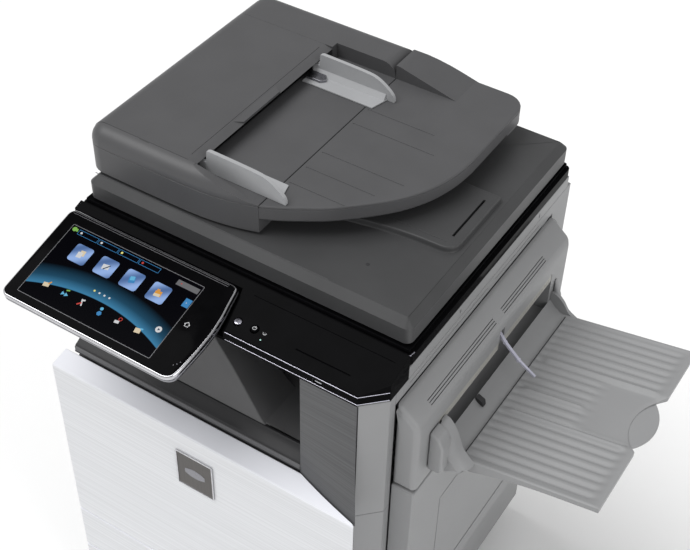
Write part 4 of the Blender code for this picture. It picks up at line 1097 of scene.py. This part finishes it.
def exit_flap():
    """Small dark flap on the apron of the mouth."""
    outline = [(0.3475, 0.7575), (0.362, 0.75), (0.36, 0.76), (0.3475, 0.766)]
    flap = prism(outline, "Y", -0.118, -0.108)
    soften(make("exit_flap", flap, DARK_GREY, "root"), 0.0006, 2)


# ---- Right exit tray, as a surface over its plan ----
TRAY_TILT = math.radians(10.0)
RAMP_X, RAMP_Z = 0.372, 0.742
RAMP_LENGTH = 0.236
TRAY_FRONT, TRAY_REAR = TRAY0.y + 0.03, TRAY1.y - 0.03
RAMP_END = RAMP_X + RAMP_LENGTH * math.cos(TRAY_TILT)
RAMP_SLOPE = math.tan(TRAY_TILT)
THUMB_Y = -0.03
RIB_PITCH = 0.0168


def bump_between(value, low, high, soft):
    """1 between two values, falling smoothly to 0 over a soft edge on both sides."""
    def ease(t):
        t = min(1.0, max(0.0, t))
        return t * t * (3 - 2 * t)
    return ease((value - low) / soft + 0.5) * ease((high - value) / soft + 0.5)


def tray_end(y):
    """How far right the tray's top reaches at a depth, with the thumb notch."""
    radius, out = 0.085, 0.055
    across = y - THUMB_Y
    notch = math.sqrt(max(0.0, radius ** 2 - across ** 2)) - out
    return RAMP_END - max(0.0, notch)


def tray_top(x, y):
    """Height of the tray's top: apron, ramp, ribs, ridges and the scoop before the thumb notch."""
    if x < RAMP_X:
        drop = (RAMP_X - x) / (RAMP_X - TRAY0.x)
        return RAMP_Z + 0.02 * drop ** 1.6
    along = (x - RAMP_X) / (RAMP_END - RAMP_X)
    z = RAMP_Z + (x - RAMP_X) * RAMP_SLOPE
    scoop = bump_between(along, 0.56, 1.4, 0.16) * bump_between(y, -0.084, 0.03, 0.016)
    rim = bump_between(y, TRAY_FRONT + 0.007, TRAY_REAR - 0.007, 0.006)
    rim *= bump_between(along, -1.0, 0.965, 0.03)
    ribs = bump_between(along, 0.045, 0.93, 0.06) * (1 - scoop) * rim
    wave = 0.5 - 0.5 * math.cos(2 * math.pi * (y - TRAY_FRONT) / RIB_PITCH)
    z -= 0.0018 + 0.0034 * ribs * (1 - wave) ** 1.5 + 0.0032 * scoop - 0.0018 * (1 - rim)
    for end, place in ((0.93, -0.092), (0.93, 0.034), (0.54, -0.038)):
        across = bump_between(y, place - 0.0045, place + 0.0045, 0.004)
        z += 0.003 * bump_between(along, 0.1, end, 0.03) * across
    return z


def tray_bottom(x):
    """Height of the tray's underside: thicker towards its foot."""
    foot = RAMP_Z - 0.02
    if x < RAMP_X:
        return foot
    thick = 0.0105 + 0.02 * max(0.0, 1 - (x - RAMP_X) / 0.16) ** 2
    return max(foot, RAMP_Z + (x - RAMP_X) * RAMP_SLOPE - thick)


def exit_tray_shell():
    """A grid over the tray's plan, its top and its underside joined all round, with rounded edges."""
    columns, rows = 190, 46
    start = TRAY0.x
    rounding = 0.0015
    bm = bmesh.new()
    grid = []
    for i in range(columns + 1):
        y = TRAY_FRONT + (TRAY_REAR - TRAY_FRONT) * i / columns
        end = tray_end(y)
        line = []
        for j in range(rows + 1):
            x = start + (end - start) * j / rows
            edge = min(y - TRAY_FRONT, TRAY_REAR - y, end - x)
            drop = rounding * max(0.0, 1 - edge / rounding) ** 2
            line.append(Vector((x, y, tray_top(x, y) - drop)))
        grid.append(line)
    top = [[bm.verts.new(p) for p in line] for line in grid]
    low = [[bm.verts.new((p.x, p.y, tray_bottom(p.x))) for p in line] for line in grid]
    for i in range(columns):
        for j in range(rows):
            bm.faces.new((top[i][j], top[i + 1][j], top[i + 1][j + 1], top[i][j + 1]))
            bm.faces.new((low[i][j], low[i][j + 1], low[i + 1][j + 1], low[i + 1][j]))
        bm.faces.new((top[i][0], low[i][0], low[i + 1][0], top[i + 1][0]))
        bm.faces.new((top[i][rows], top[i + 1][rows], low[i + 1][rows], low[i][rows]))
    for j in range(rows):
        bm.faces.new((top[0][j], top[0][j + 1], low[0][j + 1], low[0][j]))
        bm.faces.new((top[columns][j], low[columns][j], low[columns][j + 1], top[columns][j + 1]))
    obj = make("exit_tray_shell", bm, SIDE_GREY, "root", ["right_exit_tray"])
    obj.data.shade_smooth()
    obj.data.set_sharp_from_angle(angle=math.radians(50))
    x, width = 0.3796, 0.0012
    z = tray_top(x, 0.0) + 0.0011
    seam = ribbon([(x, TRAY_FRONT + 0.004, z), (x, TRAY_REAR - 0.004, z)], width, width)
    make("exit_tray_seam", seam, DARK_GREY, "root")
    tray_lip()
    tray_wings()
    exit_flap()


def tray_lip():
    """Lower lip that closes the thumb notch from below."""
    radius = 0.075
    level = RAMP_Z + RAMP_LENGTH * math.sin(TRAY_TILT) - 0.0105
    outline = arc((TRAY1.x - radius, THUMB_Y), radius, -62, 62, 18)
    steps = [(level - 0.008, 0.001), (level - 0.007, 0.0), (level - 0.003, 0.0), (level - 0.002, 0.0012)]
    soften(make("exit_tray_lip", layers(outline, "Z", steps), SIDE_GREY, "root"), 0.0006, 2)


def tray_wings():
    """Brackets at both ends of the apron, and the rounded blocks of the exit unit they hook into."""
    inner = TRAY0.x
    foot = 0.7225
    wing = [(inner, foot), (RAMP_X, foot), (RAMP_X + 0.032, RAMP_Z + 0.004), *smooth(
        [(RAMP_X + 0.026, RAMP_Z + 0.008), (RAMP_X + 0.01, 0.768), (RAMP_X + 0.002, 0.79),
         (RAMP_X - 0.008, 0.81), (inner + 0.008, 0.8215), (inner, 0.823)], 3)]
    bm = bmesh.new()
    for near, far, outward, share in ((TRAY_FRONT + 0.001, TRAY0.y + 0.002, -1, 1.0),
                                      (TRAY_REAR - 0.001, TRAY_REAR + 0.012, 1, 0.55)):
        span = far - near
        steps = [(near, 0.0), (near + span * 0.45, 0.0005), (near + span * 0.8, 0.0045), (far, 0.011)]
        loft(bm, [[(max(x, inner), y, foot + (z - foot) * share) for x, z in shrink(wing, inset)]
                  for y, inset in steps[::outward]])
    soften(make("exit_tray_wings", bm, SIDE_GREY, "root"), 0.001, 3)
    block = [(inner, 0.742), (RAMP_X - 0.006, 0.742), (RAMP_X - 0.001, 0.748), (RAMP_X - 0.002, 0.8),
             (RAMP_X - 0.01, 0.818), (inner, 0.826)]
    bm = prism(block, "Y", TRAY0.y - 0.016, TRAY0.y + 0.012)
    hook = [(inner, 0.745), (RAMP_X - 0.01, 0.745), (RAMP_X - 0.014, 0.77), (inner, 0.803)]
    prism(hook, "Y", TRAY_REAR + 0.004, TRAY_REAR + 0.016, bm)
    soften(make("exit_tray_blocks", bm, SIDE_GREY, "root"), 0.004, 4)


def sensor_lever():
    """Glossy lavender lever that hangs from the mouth's upper edge, jointed near its end."""
    low, high = extent("paper_sensor_arm")
    y = (low.y + high.y) / 2
    line = [(0.3385, 0.843), (0.3517, 0.8254), (0.3785, 0.8002), (0.41, 0.78)]
    bm = bmesh.new()
    for (x0, z0), (x1, z1), half in zip(line, line[1:], (0.003, 0.0026, 0.002)):
        side = Vector((z0 - z1, x1 - x0)).normalized() * 0.002
        outline = [(x0 - side.x, z0 - side.y), (x1 - side.x, z1 - side.y), (x1 + side.x, z1 + side.y),
                   (x0 + side.x, z0 + side.y)]
        prism(outline, "Y", y - half, y + half, bm)
    for x, z in line[1:3]:
        rod((x, y, z), "Y", 0.0029, 0.0062, 16, bm)
    soften(make("sensor_lever", bm, LEVER, "sensor", ["paper_sensor_arm"]), 0.0004, 2)


# ---- Stage ----
def stage():
    """Plain pale floor and a pale surround."""
    bm = bmesh.new()
    bmesh.ops.create_grid(bm, x_segments=1, y_segments=1, size=30.0)
    mesh = bpy.data.meshes.new("studio_floor")
    bm.to_mesh(mesh)
    bm.free()
    floor = bpy.data.objects.new("studio_floor", mesh)
    bpy.context.scene.collection.objects.link(floor)
    colour = (0.93, 0.93, 0.93)
    look = new_look("studio_floor", colour, 0.9, specular=0.0)
    vary_colour(look, noise(look, 0.6, 1.0), colour, 0.004)
    mesh.materials.append(look)
    world = bpy.data.worlds.new("studio")
    world.use_nodes = True
    background = world.node_tree.nodes["Background"]
    background.inputs["Color"].default_value = (1.0, 1.0, 1.0, 1.0)
    background.inputs["Strength"].default_value = 0.5
    bpy.context.scene.world = world


def add_light(name, kind, power, towards, place=(0.0, 0.0, 0.0)):
    data = bpy.data.lights.new(name, kind)
    data.energy = power
    light = bpy.data.objects.new(name, data)
    bpy.context.scene.collection.objects.link(light)
    light.location = place
    light.rotation_euler = Vector(towards).to_track_quat("-Z", "Y").to_euler()
    return data


def lights():
    """One broad sun-like softbox from the upper left, and a weaker box from the right."""
    add_light("key_light", "SUN", 2.15, (0.45, 0.3, -1.0)).angle = math.radians(45.0)
    place, target = Vector((3.0, -1.0, 2.4)), Vector((0.0, 0.0, 0.9))
    side = add_light("right_light", "AREA", 30.0, target - place, place)
    side.shape, side.size, side.size_y = "RECTANGLE", 1.8, 1.8


def camera():
    """Camera at the front right, above the machine, without shift."""
    place, lens = Vector((0.8911, -1.3952, 2.3234)), 68.61
    yaw, pitch, roll = (math.radians(a) for a in (31.7749, -43.4637, 1.4623))
    forward = Vector((math.sin(-yaw) * math.cos(pitch), math.cos(yaw) * math.cos(pitch), math.sin(pitch)))
    level = forward.cross(Vector((0.0, 0.0, 1.0))).normalized()
    up = level.cross(forward)
    right = level * math.cos(roll) + up * math.sin(roll)
    top = up * math.cos(roll) - level * math.sin(roll)
    turn = Matrix((right, top, -forward)).transposed().to_4x4()
    data = bpy.data.cameras.new("camera")
    data.sensor_width = 36.0
    data.lens = lens
    made = bpy.data.objects.new("camera", data)
    bpy.context.scene.collection.objects.link(made)
    made.matrix_world = Matrix.Translation(ORIGIN + place) @ turn
    bpy.context.scene.camera = made


def main():
    bpy.context.scene.view_settings.view_transform = "Standard"
    dress_frame()
    lid_shell()
    feeder_housing()
    feeder_top_cover()
    feeder_wing()
    side_guide("front_guide", "front_fence", 1)
    side_guide("rear_guide", "rear_fence", -1)
    scanner()
    bezel()
    touch_panel()
    corner_post()
    bay()
    badge()
    right_cover_shell()
    plain_covers()
    exit_unit_shell()
    exit_tray_shell()
    sensor_lever()
    stage()
    lights()
    camera()


main()
